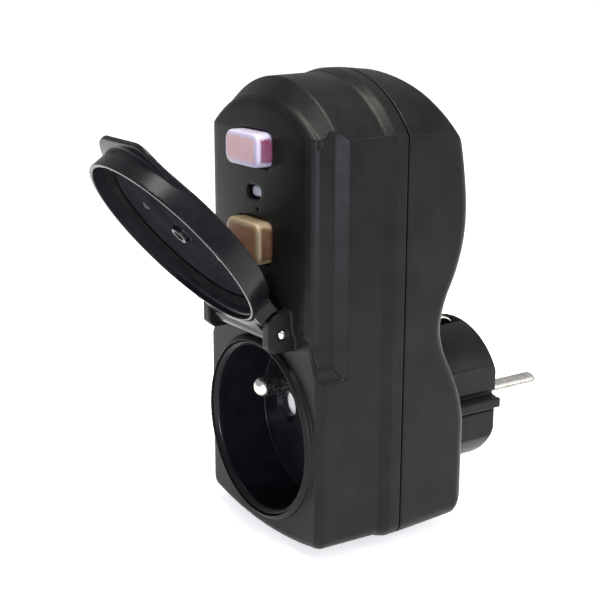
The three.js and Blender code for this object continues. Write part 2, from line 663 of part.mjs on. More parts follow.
// Silicone cap: a thin boot over the key, with a flange behind the panel.
function buttonCap(z, height) {
  const [w, h] = [KEY_WIDTH / 2, height / 2];
  const bootOutline = (inset) => roundedRectangle(w - inset, h - inset, KEY_CORNER - inset, 0, z);
  const boot = lofted(bootOutline, [[0.8, CAP_FRONT_Y], [0, CAP_FRONT_Y + 0.8], [0, FLANGE_Y + 0.5]], 4);
  const flangeShape = roundedRectangle(w + 1.2, h + 1.1, KEY_CORNER, 0, z);
  const flange = slab(flangeShape, FLANGE_Y, FLANGE_Y + FLANGE_THICK, 4);
  const hollowShape = roundedRectangle(w - CAP_WALL, h - CAP_WALL, 1.4, 0, z);
  return cut(join(boot, flange), slab(hollowShape, CAP_FRONT_Y + CAP_WALL, -50, 4));
}

function buttonKey(z, height) {
  const [w, h] = [KEY_WIDTH / 2 - CAP_WALL - GAP, height / 2 - CAP_WALL - GAP];
  const flangeBack = KEY_FLANGE_Y + KEY_FLANGE_THICK;
  const key = slab(roundedRectangle(w, h, 1.2, 0, z), CAP_FRONT_Y + CAP_WALL + GAP, flangeBack, 3);
  const flange = slab(roundedRectangle(w + 1.8, h + 1.6, 1.6, 0, z), KEY_FLANGE_Y, flangeBack, 3);
  const stem = rod(1.5, flangeBack - 0.5, KEY_STEM_Y, 0, z, 14);
  return join(key, flange, stem);
}

// Coil spring about a line along Y.
function coilSpring(radius, wire, y0, y1, turns, x, z) {
  const stepsPerTurn = 10;
  const steps = turns * stepsPerTurn;
  const path = new THREE.CatmullRomCurve3(Array.from({ length: steps + 1 }, (_, i) => {
    const angle = (i / stepsPerTurn) * Math.PI * 2;
    const y = THREE.MathUtils.lerp(y0 + wire, y1 - wire, i / steps);
    return new THREE.Vector3(x + radius * Math.cos(angle), y, z + radius * Math.sin(angle));
  }));
  const section = new THREE.Shape();
  section.absarc(0, 0, wire, 0, Math.PI * 2);
  const options = { steps, extrudePath: path, curveSegments: 2, bevelEnabled: false };
  return solid(new THREE.ExtrudeGeometry(section, options));
}

function pressSwitch(z) {
  const base = box([-3, -50.6, z - 3], [3, BOARD_Y - GAP, z + 3]);
  return join(base, rod(1.4, -51.8, -50, 0, z, 14));
}

// ---- circuit board ----

function circuitBoard() {
  return box([-BOARD_HALF, BOARD_Y, BOARD_LOW_Z], [BOARD_HALF, BOARD_Y + BOARD_THICK, BOARD_HIGH_Z]);
}

function ringCore() {
  return turnedUpright([[9.4, 44], [12, 44], [12, 51], [9.4, 51]], 0, CORE_Y, 36);
}

function tripCoil() {
  const flange = 5.1;
  return turnedUpright([[2.4, 54], [flange, 54], [flange, 55], [4.6, 55], [4.6, 68], [flange, 68],
    [flange, 69], [2.4, 69]], 0, CORE_Y, 28);
}

// Line conductor: from the plug pin, forward above it, then up through the ring core.
function lineBar(side) {
  const route = polygon([[-27.1, -3], [-26.1, -3], [-26.1, 18], [-34.7, 18], [-34.7, 60], [-35.7, 60],
    [-35.7, 17], [-27.1, 17]]);
  return profileAcross(route, ...ordered(side * 5.7, side * 8.7));
}

function loadStrap(side) {
  const [left, right] = ordered(side * 13.1, side * 14.8);
  return box([left, -35.7, -3], [right, -34.7, 60]);
}

function movingContact(side) {
  const [left, right] = ordered(side * 5.9, side * 14.4);
  return box([left, -36.6, 60.3], [right, -34, 61.5]);
}

function contactCarrier() {
  const outline = polygon([[-12, 61.8], [-8.6, 61.8], [-8.6, 70.4], [8.6, 70.4], [8.6, 61.8], [12, 61.8],
    [12, 73], [-12, 73]]);
  return slab(outline, -37.2, -30.6);
}

// ---- plug ----

// Slot for the upper or the lower earth clip.
function clipSlot(end) {
  const [low, high] = ordered(end * CLIP_SLOT_Z, end * FAR);
  return box([-CLIP_HALF - 0.8, PLUG_INNER_Y - 5, low], [CLIP_HALF + 0.8, CLIP_SLOT_END_Y, high]);
}

// Groove above or below one guide rib.
function ribGroove(side, end) {
  const [left, right] = ordered(side * (PLUG_FLAT - 1.2), side * FAR);
  const [low, high] = ordered(end * RIB_HALF, end * (RIB_HALF + RIB_GROOVE));
  return box([left, REAR_Y + 3, low], [right, 5, high]);
}

function plugBody() {
  const profile = [[0, PLUG_INNER_Y], [PLUG_R, PLUG_INNER_Y], [PLUG_R, -1], [PLUG_R - 1, 0], [0, 0]];
  const flattened = turned(profile, 0, 0, 56).intersect(box([-PLUG_FLAT, -FAR, -FAR], [PLUG_FLAT, FAR, FAR]));
  const root = rod(PLUG_R, PLUG_INNER_Y, REAR_Y + 2.5, 0, 0, 56);
  const ribs = box([-RIB_REACH, REAR_Y, -RIB_HALF], [RIB_REACH, -0.4, RIB_HALF]);
  const pinHole = (side) => rod(PIN_R + GAP, PLUG_INNER_Y - 5, 5, side * PIN_PITCH / 2, 0, 20);
  const grooves = [ribGroove(-1, -1), ribGroove(-1, 1), ribGroove(1, -1), ribGroove(1, 1)];
  const earthHole = rod(EARTH_HOLE_R, -20, 5, 0, EARTH_Z, 20);
  const holes = [pinHole(-1), pinHole(1), earthHole];
  return cut(join(flattened, root, ribs), ...holes, clipSlot(-1), clipSlot(1), ...grooves);
}

// Spring strip in the plug's upper or lower slot, bowed outwards.
function earthClip(end) {
  const outer = [[-25.6, 16.2], [-17, 16.6], [-12, 18.4], [-9, 19.5], [-6.5, 19.5], [-4.6, 18.3],
    [-3.6, 16.5], [-2.2, 16.2]];
  const inner = outer.map(([y, z]) => [y, z - CLIP_THICK]).reverse();
  const strip = polygon([...outer, ...inner].map(([y, z]) => [y, end * (z + 0.25)]));
  return profileAcross(strip, -CLIP_HALF, CLIP_HALF);
}

function earthSleeve() {
  const [back, mouth] = [-17, -1.2];
  return turned([[SLEEVE_BORE, back], [3, back], [3, mouth], [SLEEVE_BORE, mouth]], 0, EARTH_Z, 20);
}

// ---- assembly ----

const group = new THREE.Group();
const lidGroup = new THREE.Group();
lidGroup.position.set(0, HINGE_Y, HINGE_Z);
lidGroup.rotation.x = -THREE.MathUtils.degToRad(LID_OPEN_DEG);
group.add(lidGroup);

function add(name, body, finish, parent = group) {
  const mesh = new THREE.Mesh(geometryOf(body), finish);
  mesh.name = name;
  parent.add(mesh);
}

function addCasing() {
  add('front_shell', frontShell(), casingPlastic());
  add('rear_shell', rearShell(), casingPlastic());
  add('casing_seal', casingSeal(), rubberBlack());
  SCREW_PLACES.forEach((place, i) => add(`casing_screw_${i + 1}`, casingScrew(place), nickel()));
}

function addSocket() {
  add('socket_insert', socketInsert(), glossPlastic());
  add('safety_shutter', safetyShutter(), material(0xd9d7cf, 0.5));
  const spring = coilSpring(0.8, 0.2, 13.9, 21.9, 4, 0, 0);
  add('shutter_spring', spring.rotate([0, 0, 90]).translate([0, -42.9, 0]), nickel());
  add('live_contact', contactSleeve(1), brass());
  add('neutral_contact', contactSleeve(-1), brass());
  add('earth_pin', domedPin(MOUTH_Y + 0.35, -38.9, 0, EARTH_Z), nickel());
  add('earth_strap', earthStrap(), brass());
}

function addLid() {
  add('socket_lid', lid(), glossPlastic(), lidGroup);
  add('lid_seal', lidSeal(), rubberBlack(), lidGroup);
  add('hinge_pin', crossRod(1, -LUG_OUTER - 0.1, LUG_OUTER + 0.1, HINGE_Y, HINGE_Z, 16), nickel());
}

function addButtons() {
  add('test_cap', buttonCap(TEST_Z, TEST_HEIGHT), material(0xdcd9ea, 0.35));
  add('test_key', buttonKey(TEST_Z, TEST_HEIGHT), material(0xb3304a, 0.5));
  add('reset_cap', buttonCap(RESET_Z, RESET_HEIGHT), material(0xdccdb0, 0.35));
  add('reset_key', buttonKey(RESET_Z, RESET_HEIGHT), material(0xa8683a, 0.5));
  add('test_spring', coilSpring(2.3, 0.25, -56.2, BOARD_Y - GAP - 3.2, 4, 0, TEST_Z), nickel());
  add('reset_spring', coilSpring(2.3, 0.25, -56.2, BOARD_Y - GAP - 3.2, 4, 0, RESET_Z), nickel());
}

function addElectronics() {
  const lensShape = roundedRectangle(LAMP_HALF_WIDTH, LAMP_HALF_HEIGHT, 1.2, 0, LAMP_Z);
  add('indicator_lens', slab(lensShape, PANEL_Y + 0.9, -57, 5), material(0xe8eaf0, 0.2));
  add('indicator_lamp', turned([[0, -56.5], [1.1, -56.1], [1.5, -55], [1.5, -50], [0, -50]], 0, LAMP_Z, 16),
    material(0xe0f0e0, 0.2));
  add('circuit_board', circuitBoard(), material(0x1f5a33, 0.6));
  add('test_switch', pressSwitch(TEST_Z), material(0x303236, 0.5));
  add('reset_switch', pressSwitch(RESET_Z), material(0x303236, 0.5));
  add('control_chip', box([-12, -49.6, 34], [-5, BOARD_Y - GAP, 39]), material(0x1b1b1d, 0.5));
  const can = [[0, -54.5], [3.6, -54.5], [4, -54], [4, BOARD_Y - GAP], [0, BOARD_Y - GAP]];
  add('smoothing_capacitor', turned(can, 9, 34, 24), material(0x23305a, 0.4));
  add('varistor', box([-12.4, -54, 48], [-9, BOARD_Y - GAP, 59]), material(0x1d5fa0, 0.5));
  add('ring_core', ringCore(), material(0x3a3d42, 0.6));
  add('trip_coil', tripCoil(), material(0xb0603a, 0.4, 0.6));
}

function addTripGear() {
  add('trip_plunger', post(2, 52.5, 70.1, 0, CORE_Y, 18), nickel());
  add('contact_carrier', contactCarrier(), material(0xe6e2d6, 0.5));
  add('moving_contact_line', movingContact(1), brass());
  add('moving_contact_neutral', movingContact(-1), brass());
  add('line_bar_live', lineBar(1), brass());
  add('line_bar_neutral', lineBar(-1), brass());
  add('load_strap_live', loadStrap(1), brass());
  add('load_strap_neutral', loadStrap(-1), brass());
}

function addPlug() {
  add('plug_body', plugBody(), casingPlastic());
  add('plug_pin_live', domedPin(PIN_LENGTH, PLUG_INNER_Y, PIN_PITCH / 2, 0), nickel());
  add('plug_pin_neutral', domedPin(PIN_LENGTH, PLUG_INNER_Y, -PIN_PITCH / 2, 0), nickel());
  add('earth_clip_top', earthClip(1), nickel());
  add('earth_clip_bottom', earthClip(-1), nickel());
  add('plug_earth_sleeve', earthSleeve(), nickel());
}

addCasing();
addSocket();
addLid();
addButtons();
addElectronics();
addTripGear();
addPlug();

export default group;
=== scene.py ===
import json
import math

import bmesh
import bpy
from mathutils import Matrix, Vector


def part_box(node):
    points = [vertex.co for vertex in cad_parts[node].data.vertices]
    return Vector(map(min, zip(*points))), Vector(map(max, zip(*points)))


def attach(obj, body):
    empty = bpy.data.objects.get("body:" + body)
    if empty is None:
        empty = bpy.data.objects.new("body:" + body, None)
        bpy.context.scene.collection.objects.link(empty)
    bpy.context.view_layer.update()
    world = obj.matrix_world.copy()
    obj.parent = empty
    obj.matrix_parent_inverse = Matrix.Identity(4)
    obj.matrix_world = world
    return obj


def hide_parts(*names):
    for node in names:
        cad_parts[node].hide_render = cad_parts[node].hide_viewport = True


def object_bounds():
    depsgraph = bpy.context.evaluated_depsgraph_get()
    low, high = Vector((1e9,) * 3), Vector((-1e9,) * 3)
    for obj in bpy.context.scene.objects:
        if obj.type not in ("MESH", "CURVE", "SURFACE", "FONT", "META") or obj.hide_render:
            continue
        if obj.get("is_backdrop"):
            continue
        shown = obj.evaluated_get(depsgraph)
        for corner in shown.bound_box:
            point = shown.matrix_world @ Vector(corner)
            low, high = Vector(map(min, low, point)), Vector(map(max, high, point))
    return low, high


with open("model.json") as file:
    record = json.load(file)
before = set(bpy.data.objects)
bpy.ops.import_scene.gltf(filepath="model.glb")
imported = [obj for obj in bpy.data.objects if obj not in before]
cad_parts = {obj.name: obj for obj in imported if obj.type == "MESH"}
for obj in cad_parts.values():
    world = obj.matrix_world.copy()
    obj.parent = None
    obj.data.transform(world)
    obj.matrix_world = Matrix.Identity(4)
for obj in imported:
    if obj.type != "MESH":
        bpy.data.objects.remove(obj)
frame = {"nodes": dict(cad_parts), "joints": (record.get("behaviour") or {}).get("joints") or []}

CAD_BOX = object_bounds()
NODES = frame["nodes"]
MM = 0.001                      # shapes are drawn in millimetres and scaled to metres at the end


def span(node):
    """Lowest and highest corner of a CAD node, in millimetres."""
    low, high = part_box(node)
    return low / MM, high / MM


# ---- dimensions taken from the frame ----

FRONT_LOW, FRONT_HIGH = span("front_shell")
INSERT_LOW, INSERT_HIGH = span("socket_insert")
PIN_LOW, PIN_HIGH = span("hinge_pin")
PLUG_INNER_Y = span("plug_body")[0].y
HALF_WIDTH = FRONT_HIGH.x
APEX_Z = FRONT_HIGH.z
BELLY_Z = FRONT_LOW.z
PARTING_Y = FRONT_HIGH.y
REAR_Y = span("rear_shell")[1].y
MOUTH_Y = INSERT_LOW.y - 0.7
HINGE_Y = (PIN_LOW.y + PIN_HIGH.y) / 2
HINGE_Z = (PIN_LOW.z + PIN_HIGH.z) / 2
LUG_OUTER = PIN_HIGH.x - 0.1
LID_OPEN = math.radians(max(frame["joints"][0]["range_deg"]))

# ---- dimensions of the casing, in millimetres ----

GAP = 0.3                       # clearance between touching pieces
WALL = 2.2                      # casing wall
STEP = 0.6                      # how far the front part of the casing is set in
DRAFT = 0.6                     # further narrowing of the front part towards its face
REAR_DRAFT = 0.3                # narrowing of the rear shell towards the back
SHOULDER_Z = 70                 # where the straight sides end
SPLIT_Z = 40                    # above this height the casing has the wide chamfer
CHAMFER = 4
CHAMFER_DEPTH = 4.6
CORNER_Z = -24.4                # where the curved bottom meets the corner rounding
CORNER_R = 4
FRONT_Y = MOUTH_Y + 1.95        # flat front of the lower block
PANEL_Y = MOUTH_Y + 0.4         # front of the raised button panel
STEP_Y = PARTING_Y - 5.4        # front edge of the side step
PANEL_HALF = 21.4
PANEL_LOW_Z = 23
PANEL_DROP = 4.66               # top of the panel below the top of the arch
PANEL_TAPER = 0.6               # how much less the panel's top is set in than its sides
FLANK = 1.6                     # width of the slope from the panel down into the side recess
RECESS_Y = FRONT_Y + 4.85       # back of the side recess at the panel
RECESS_REAR_Y = FRONT_Y + 8.95  # back of the side recess at the side wall
RECESS_LOW_Z = 16.5
FLARE_Z = 30                    # where the panel's sides begin to widen into the lower block
REAR_EDGE = 3.4                 # radius of the rounded rear edge
REAR_CENTRE_Z = 30

# screw places: x, z, and the depth of the back there
SCREW_PLACES = [(-19.4, -16.6, REAR_Y), (19.4, -16.6, REAR_Y), (-19.4, 55, -18.4), (19.4, 55, -18.4)]
POST_R = 3                      # screw posts of the front shell
POST_BORE = 1.6
TOWER_R = 4.2                   # screw towers of the rear shell
TOWER_BORE = 1.9
SINK_R = 3.1                    # holes that the screw heads sit in
SINK_DEPTH = 4.5
SCREW_R = 1.3
SCREW_LENGTH = 20
HEAD_R = 2.8
HEAD_HEIGHT = 2.2
HEAD_BELOW = 4.2                # underside of the screw head below the back

# ---- dimensions of the socket, lid, buttons and plug, in millimetres ----

COLLAR_R = 22.17                # outside of the socket collar
MOUTH_R = INSERT_HIGH.x + GAP   # bore of the collar
WELL_R = 19.6                   # bore of the socket well
WELL_FLOOR = 2.4                # thickness of the well's floor
WELL_FLOOR_Y = INSERT_HIGH.y - WELL_FLOOR
CONTACT_HOLE_R = 3.1
PIN_PITCH = 19
PIN_R = 2.4
DOME = 0.9                      # height of a pin's domed tip, as a share of its radius
EARTH_Z = 10
EARTH_HOLE_R = 3.3
LUG_R = 5                       # rounding of the hinge lugs
LUG_THICK = 3
LUG_NOSE = 3.6                  # flat front of the lugs before the hinge axis
LUG_BELOW = 4.2                 # lower end of the lugs below the hinge axis
HINGE_BORE = 1.15
BARREL_R = 2.7                  # hinge barrel of the lid
BARREL_HALF = LUG_OUTER - LUG_THICK - GAP
LID_REACH = 27.8                # hinge axis to lid centre
LID_CENTRE = -LID_REACH
LID_R = 23.9
LID_RIM = 2.65                  # rim of the skirt, towards the socket
LID_TOP = -3.2                  # outer face of the lid
LID_FLOOR = LID_TOP + 1.8       # inner face of the lid
LID_EDGE_R = LID_R - 0.35
LIP_THICK = 1.15
LIP_REACH = 25.3                # from the middle of the lid to the edge of its lip
LIP_HALF = 6.6                  # half of the straight edge of the lip
LIP_CORNER = 7                  # rounding of the lip's corners
LIP_BEND = 19                   # from the middle of the lid to where the lip bends outwards
LIP_LIFT = 0.8                  # how far its tip is bent
KEY_WIDTH = 14
KEY_CORNER = 2.2                # rounding of the caps, seen from the front
CAP_MARGIN = 1.1                # flange of a cap beyond its upper and lower side
CAP_WALL = 1
LAMP_Z = 56.4
LAMP_HALF_WIDTH = 2.45
LAMP_HALF_HEIGHT = 1.25
LAMP_R = 1.5
PLUG_R = 18.5
PLUG_FLAT = 15.9
RIB_REACH = 18.3                # guide ribs on the plug's flat sides
RIB_HALF = 1.2
RIB_GROOVE = 1.3
CLIP_HALF = 3                   # half width of the earth clips
CLIP_SLOT_Z = 15.6              # bottom of the slots for the earth clips
CLIP_SLOT_END_Y = -1.6

FAR = 80                        # beyond the object on any side, for cutting tools
VOXEL = 0.27                    # grid of the casing shells before smoothing
FINE_VOXEL = 0.24               # grid of the lid
PLUG_VOXEL = 0.28
CAP_VOXEL = 0.16
ARC = 40                        # points in each arc of an outline


# ---- outlines ----

def arc(cx, cy, radius, start, end, steps=ARC):
    turn = (end - start) / steps
    return [(cx + radius * math.cos(start + i * turn), cy + radius * math.sin(start + i * turn))
            for i in range(steps + 1)]


def arc_over(half, rise):
    """Radius of the arc over a chord, and how far its centre lies below the chord."""
    radius = (half * half + rise * rise) / (2 * rise)
    return radius, radius - rise


def casing_outline(inset, steps=ARC):
    half = HALF_WIDTH - inset
    corner = max(CORNER_R - inset, 0.5)
    flat = half - corner
    top_r, top_drop = arc_over(half, APEX_Z - inset - SHOULDER_Z)
    low_r, low_drop = arc_over(flat, CORNER_Z - BELLY_Z)
    top_angle = math.asin(half / top_r)
    low_angle = math.asin(flat / low_r)
    quarter = math.pi / 2
    corner_z = CORNER_Z + inset + corner
    points = arc(-flat, corner_z, corner, -math.pi, -quarter, steps // 2)
    points += arc(0, CORNER_Z + inset + low_drop, low_r, -quarter - low_angle, -quarter + low_angle, steps)
    points += arc(flat, corner_z, corner, -quarter, 0, steps // 2)
    points += arc(0, SHOULDER_Z - top_drop, top_r, quarter - top_angle, quarter + top_angle, steps)
    return points


def panel_outline(inset, steps=ARC):
    half = PANEL_HALF - inset
    low = PANEL_LOW_Z + inset
    top_r, top_drop = arc_over(half, APEX_Z - PANEL_DROP - SHOULDER_Z - inset * PANEL_TAPER)
    top_angle = math.asin(half / top_r)
    points = curve((-half, low + 2.5), (0, low - 2.5), (half, low + 2.5), steps // 2)
    up = math.pi / 2
    return points + arc(0, SHOULDER_Z - top_drop, top_r, up - top_angle, up + top_angle, steps)


def filled(points, longest=1.2):
    """The same closed outline with points added where they are far apart."""
    result = []
    for a, b in zip(points, points[1:] + points[:1]):
        steps = max(1, math.ceil(math.dist(a, b) / longest))
        result += [tuple(Vector(a).lerp(Vector(b), i / steps)) for i in range(steps)]
    return result


def curve(start, control, end, steps=12):
    """Quadratic curve from start to end."""
    points = []
    for i in range(steps + 1):
        t = i / steps
        points.append(tuple((1 - t) ** 2 * a + 2 * t * (1 - t) * b + t * t * c
                            for a, b, c in zip(start, control, end)))
    return points


def rounded_rectangle(half_width, half_height, radius, x=0.0, z=0.0, steps=8):
    w, h, quarter = half_width - radius, half_height - radius, math.pi / 2
    points = []
    for i, (side, end) in enumerate([(1, 1), (-1, 1), (-1, -1), (1, -1)]):
        points += arc(x + side * w, z + end * h, radius, i * quarter, (i + 1) * quarter, steps)
    return points


# ---- solids ----

def piece(mesh):
    """Object made of a mesh under construction, which is used up."""
    data = bpy.data.meshes.new("tool")
    bmesh.ops.remove_doubles(mesh, verts=mesh.verts, dist=1e-5)
    bmesh.ops.dissolve_degenerate(mesh, edges=mesh.edges, dist=1e-5)
    bmesh.ops.recalc_face_normals(mesh, faces=mesh.faces)
    mesh.to_mesh(data)
    mesh.free()
    made = bpy.data.objects.new("tool", data)
    bpy.context.scene.collection.objects.link(made)
    return made


def loft(rings):
    """Closed solid through rings with the same number of points."""
    mesh = bmesh.new()
    rows = [[mesh.verts.new(point) for point in ring] for ring in rings]
    count = len(rows[0])
    for a, b in zip(rows, rows[1:]):
        for i in range(count):
            j = (i + 1) % count
            mesh.faces.new((a[i], a[j], b[j], b[i]))
    mesh.faces.new(rows[0][::-1])
    mesh.faces.new(rows[-1])
    return piece(mesh)


def across(outline, y0, y1):
    """Outline in X and Z, from y0 to y1."""
    return loft([[(x, y, z) for x, z in outline] for y in (y0, y1)])


def sideways(outline, x0, x1):
    """Outline in Y and Z, from x0 to x1."""
    return loft([[(x, y, z) for y, z in outline] for x in (x0, x1)])


def upright(outline, z0, z1):
    """Outline in X and Y, from z0 to z1."""
    return loft([[(x, y, z) for x, y in outline] for z in (z0, z1)])


def inset_loft(outline_of, sections):
    """Outlines set in by different amounts at several depths; sections are (inset, y)."""
    return loft([[(x, y, z) for x, z in outline_of(inset)] for inset, y in sections])


def block(low, high):
    (x0, y0, z0), (x1, y1, z1) = low, high
    return across([(x0, z0), (x1, z0), (x1, z1), (x0, z1)], y0, y1)


def turned(profile, x=0.0, z=0.0, sides=128):
    """Turned solid about a line along Y; profile points are (radius, y)."""
    mesh = bmesh.new()
    rows = []
    for radius, y in profile:
        if radius == 0:
            rows.append([mesh.verts.new((x, y, z))] * sides)
            continue
        turns = [2 * math.pi * i / sides for i in range(sides)]
        rows.append([mesh.verts.new((x + radius * math.cos(a), y, z + radius * math.sin(a))) for a in turns])
    for a, b in zip(rows, rows[1:] + rows[:1]):
        for i in range(sides):
            j = (i + 1) % sides
            corners = list(dict.fromkeys([a[i], a[j], b[j], b[i]]))
            if len(corners) > 2:
                mesh.faces.new(corners)
    return piece(mesh)


def rod(radius, y0, y1, x=0.0, z=0.0, sides=96):
    return turned([(0, y0), (radius, y0), (radius, y1), (0, y1)], x, z, sides)


def cross_rod(radius, x0, x1, y, z, sides=64):
    return sideways(arc(y, z, radius, 0, 2 * math.pi * (1 - 1 / sides), sides - 1), x0, x1)


def softened_profile(points, radius, steps=5):
    """Profile with its corners off the axis rounded by a small radius."""
    rounded = []
    count = len(points)
    for i, point in enumerate(points):
        here = Vector(point)
        before, after = Vector(points[i - 1]), Vector(points[(i + 1) % count])
        if here.x == 0:
            rounded.append(tuple(here))
            continue
        reach = min(radius, (before - here).length * 0.45, (after - here).length * 0.45)
        start = here + (before - here).normalized() * reach
        end = here + (after - here).normalized() * reach
        rounded += curve(tuple(start), tuple(here), tuple(end), steps)
    return rounded


def evaluated(made):
    """Applies an object's modifiers to its mesh."""
    bpy.context.view_layer.update()
    graph = bpy.context.evaluated_depsgraph_get()
    data = bpy.data.meshes.new_from_object(made.evaluated_get(graph))
    made.modifiers.clear()
    made.data = data
    return made


def combine(base, operation, *tools):
    """Joins, cuts or intersects base with tools, which are used up."""
    for tool in tools:
        step = base.modifiers.new("step", "BOOLEAN")
        step.operation = operation
        step.object = tool
        step.solver = "MANIFOLD"
    evaluated(base)
    for tool in tools:
        bpy.data.objects.remove(tool)
    return base


def join(base, *tools):
    return combine(base, "UNION", *tools)


def cut(base, *tools):
    return combine(base, "DIFFERENCE", *tools)


def keep(base, *tools):
    return combine(base, "INTERSECT", *tools)


def moulded(made, voxel, passes, share=1.0):
    """Even grid over the solid, smoothed so that its edges come out softly rounded."""
    grid = made.modifiers.new("grid", "REMESH")
    grid.mode = "VOXEL"
    grid.voxel_size = voxel
    soft = made.modifiers.new("soft", "SMOOTH")
    soft.factor = 0.5
    soft.iterations = passes
    if share < 1:
        thin = made.modifiers.new("thin", "DECIMATE")
        thin.ratio = share
    return evaluated(made)


def finish_piece(made, name, body, nodes, finish):
    """Scales a piece to metres, names it, and puts it in the frame in place of CAD nodes."""
    made.data.transform(Matrix.Scale(MM, 4))
    made.name = name
    made.data.name = name
    made.data.materials.clear()
    made.data.materials.append(finish)
    made.data.polygons.foreach_set("use_smooth", [True] * len(made.data.polygons))
    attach(made, body)
    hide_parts(*nodes)
    return made


def sharpen(made, degrees=30):
    """Splits the shading at sharp edges, for pieces that are not smoothed."""
    mesh = bmesh.new()
    mesh.from_mesh(made.data)
    for edge in mesh.edges:
        edge.smooth = len(edge.link_faces) == 2 and edge.calc_face_angle() < math.radians(degrees)
    mesh.to_mesh(made.data)
    mesh.free()
    return made


# ---- materials ----

class Finish:
    """A Principled material with nodes added by short calls."""

    def __init__(self, name):
        self.material = bpy.data.materials.new(name)
        self.material.use_nodes = True
        self.nodes = self.material.node_tree.nodes
        self.links = self.material.node_tree.links
        self.shader = self.nodes["Principled BSDF"]
        self.place = self.nodes.new("ShaderNodeTexCoord").outputs["Object"]

    def set(self, **values):
        for name, value in values.items():
            self.shader.inputs[name.replace("_", " ")].default_value = value
        return self

    def noise(self, size, detail=3.0, rough=0.55):
        """Noise whose grains are about size millimetres wide."""
        node = self.nodes.new("ShaderNodeTexNoise")
        node.inputs["Scale"].default_value = 1 / (size * MM)
        node.inputs["Detail"].default_value = detail
        node.inputs["Roughness"].default_value = rough
        self.links.new(self.place, node.inputs["Vector"])
        return node.outputs["Fac"]

    def cells(self, size):
        """Distance from scattered points about size millimetres apart."""
        node = self.nodes.new("ShaderNodeTexVoronoi")
        node.inputs["Scale"].default_value = 1 / (size * MM)
        self.links.new(self.place, node.inputs["Vector"])
        return node.outputs["Distance"]

    def bands(self, size, direction, distort=0.0):
        """Fine parallel bands, as left by brushing, turning or winding."""
        node = self.nodes.new("ShaderNodeTexWave")
        node.bands_direction = direction
        node.inputs["Scale"].default_value = 0.32 / (size * MM)
        node.inputs["Distortion"].default_value = distort
        node.inputs["Detail"].default_value = 2
        self.links.new(self.place, node.inputs["Vector"])
        return node.outputs["Fac"]

    def ramp(self, source, stops):
        """Colour ramp; stops are (position, colour)."""
        node = self.nodes.new("ShaderNodeValToRGB")
        elements = node.color_ramp.elements
        while len(elements) < len(stops):
            elements.new(0.5)
        for element, (position, colour) in zip(elements, stops):
            element.position = position
            element.color = (*colour, 1)
        self.links.new(source, node.inputs["Fac"])
        return node.outputs["Color"]

    def levels(self, source, low, high, start=0.3, end=0.7):
        """Maps a value from start..end to low..high."""
        node = self.nodes.new("ShaderNodeMapRange")
        for name, value in (("From Min", start), ("From Max", end), ("To Min", low), ("To Max", high)):
            node.inputs[name].default_value = value
        self.links.new(source, node.inputs["Value"])
        return node.outputs["Result"]

    def mix(self, factor, a, b, blend="MIX"):
        node = self.nodes.new("ShaderNodeMix")
        node.data_type = "RGBA"
        node.blend_type = blend
        for socket, value in ((node.inputs["Factor"], factor), (node.inputs[6], a), (node.inputs[7], b)):
            if isinstance(value, (int, float)):
                socket.default_value = value
            elif isinstance(value, tuple):
                socket.default_value = (*value, 1)
            else:
                self.links.new(value, socket)
        return node.outputs[2]

    def axes(self):
        """The three coordinates of a point on the piece, in metres."""
        node = self.nodes.new("ShaderNodeSeparateXYZ")
        self.links.new(self.place, node.inputs["Vector"])
        return node.outputs["X"], node.outputs["Y"], node.outputs["Z"]

    def maths(self, operation, a, b=0.0):
        """One step of arithmetic on sockets or numbers."""
        node = self.nodes.new("ShaderNodeMath")
        node.operation = operation
        for socket, value in zip(node.inputs, (a, b)):
            if isinstance(value, (int, float)):
                socket.default_value = value
            else:
                self.links.new(value, socket)
        return node.outputs["Value"]

    def colour(self, source):
        self.links.new(source, self.shader.inputs["Base Color"])
        return self

    def roughness(self, source):
        self.links.new(source, self.shader.inputs["Roughness"])
        return self

    def bump(self, source, height, strength=1.0):
        """Surface relief of the given height in millimetres, on top of any relief before it."""
        node = self.nodes.new("ShaderNodeBump")
        node.inputs["Distance"].default_value = height * MM
        node.inputs["Strength"].default_value = strength
        self.links.new(source, node.inputs["Height"])
        if self.shader.inputs["Normal"].links:
            self.links.new(self.shader.inputs["Normal"].links[0].from_socket, node.inputs["Normal"])
        self.links.new(node.outputs["Normal"], self.shader.inputs["Normal"])
        return self


def grained_plastic(name, dark, light, rough, grain=0.34, height=0.035):
    """Spark-eroded moulding: fine grain, faint cloudiness and scattered pale specks."""
    f = Finish(name)
    cloud = f.ramp(f.noise(9, 4), [(0.35, dark), (0.65, light)])
    speck = f.ramp(f.cells(2.6), [(0.03, (0.05, 0.05, 0.047)), (0.055, (0, 0, 0))])
    f.colour(f.mix(0.5, cloud, speck, "ADD"))
    f.roughness(f.levels(f.noise(1.3, 5), rough - 0.05, rough + 0.07))
    f.bump(f.noise(grain, 2, 0.6), height)
    f.bump(f.noise(3.5, 3), 0.02, 0.5)
    return f.set(Specular_IOR_Level=0.11).material


def polished_plastic(name, dark, light, rough, shine=0.14):
    """Polished moulding with faint flow marks and fine scuffs."""
    f = Finish(name)
    f.colour(f.ramp(f.noise(6, 3), [(0.3, dark), (0.7, light)]))
    f.roughness(f.levels(f.noise(1.1, 4), rough - 0.03, rough + 0.05))
    f.bump(f.noise(3, 2), 0.006, 0.5)
    return f.set(Specular_IOR_Level=shine).material


def plain_plastic(name, dark, light, rough, grain=0.5, shine=0.5):
    """Moulded part with a fine satin grain."""
    f = Finish(name)
    f.colour(f.ramp(f.noise(4, 4), [(0.3, dark), (0.7, light)]))
    f.roughness(f.levels(f.noise(0.9, 4), rough - 0.06, rough + 0.08))
    return f.bump(f.noise(grain, 2), 0.012).set(Specular_IOR_Level=shine).material


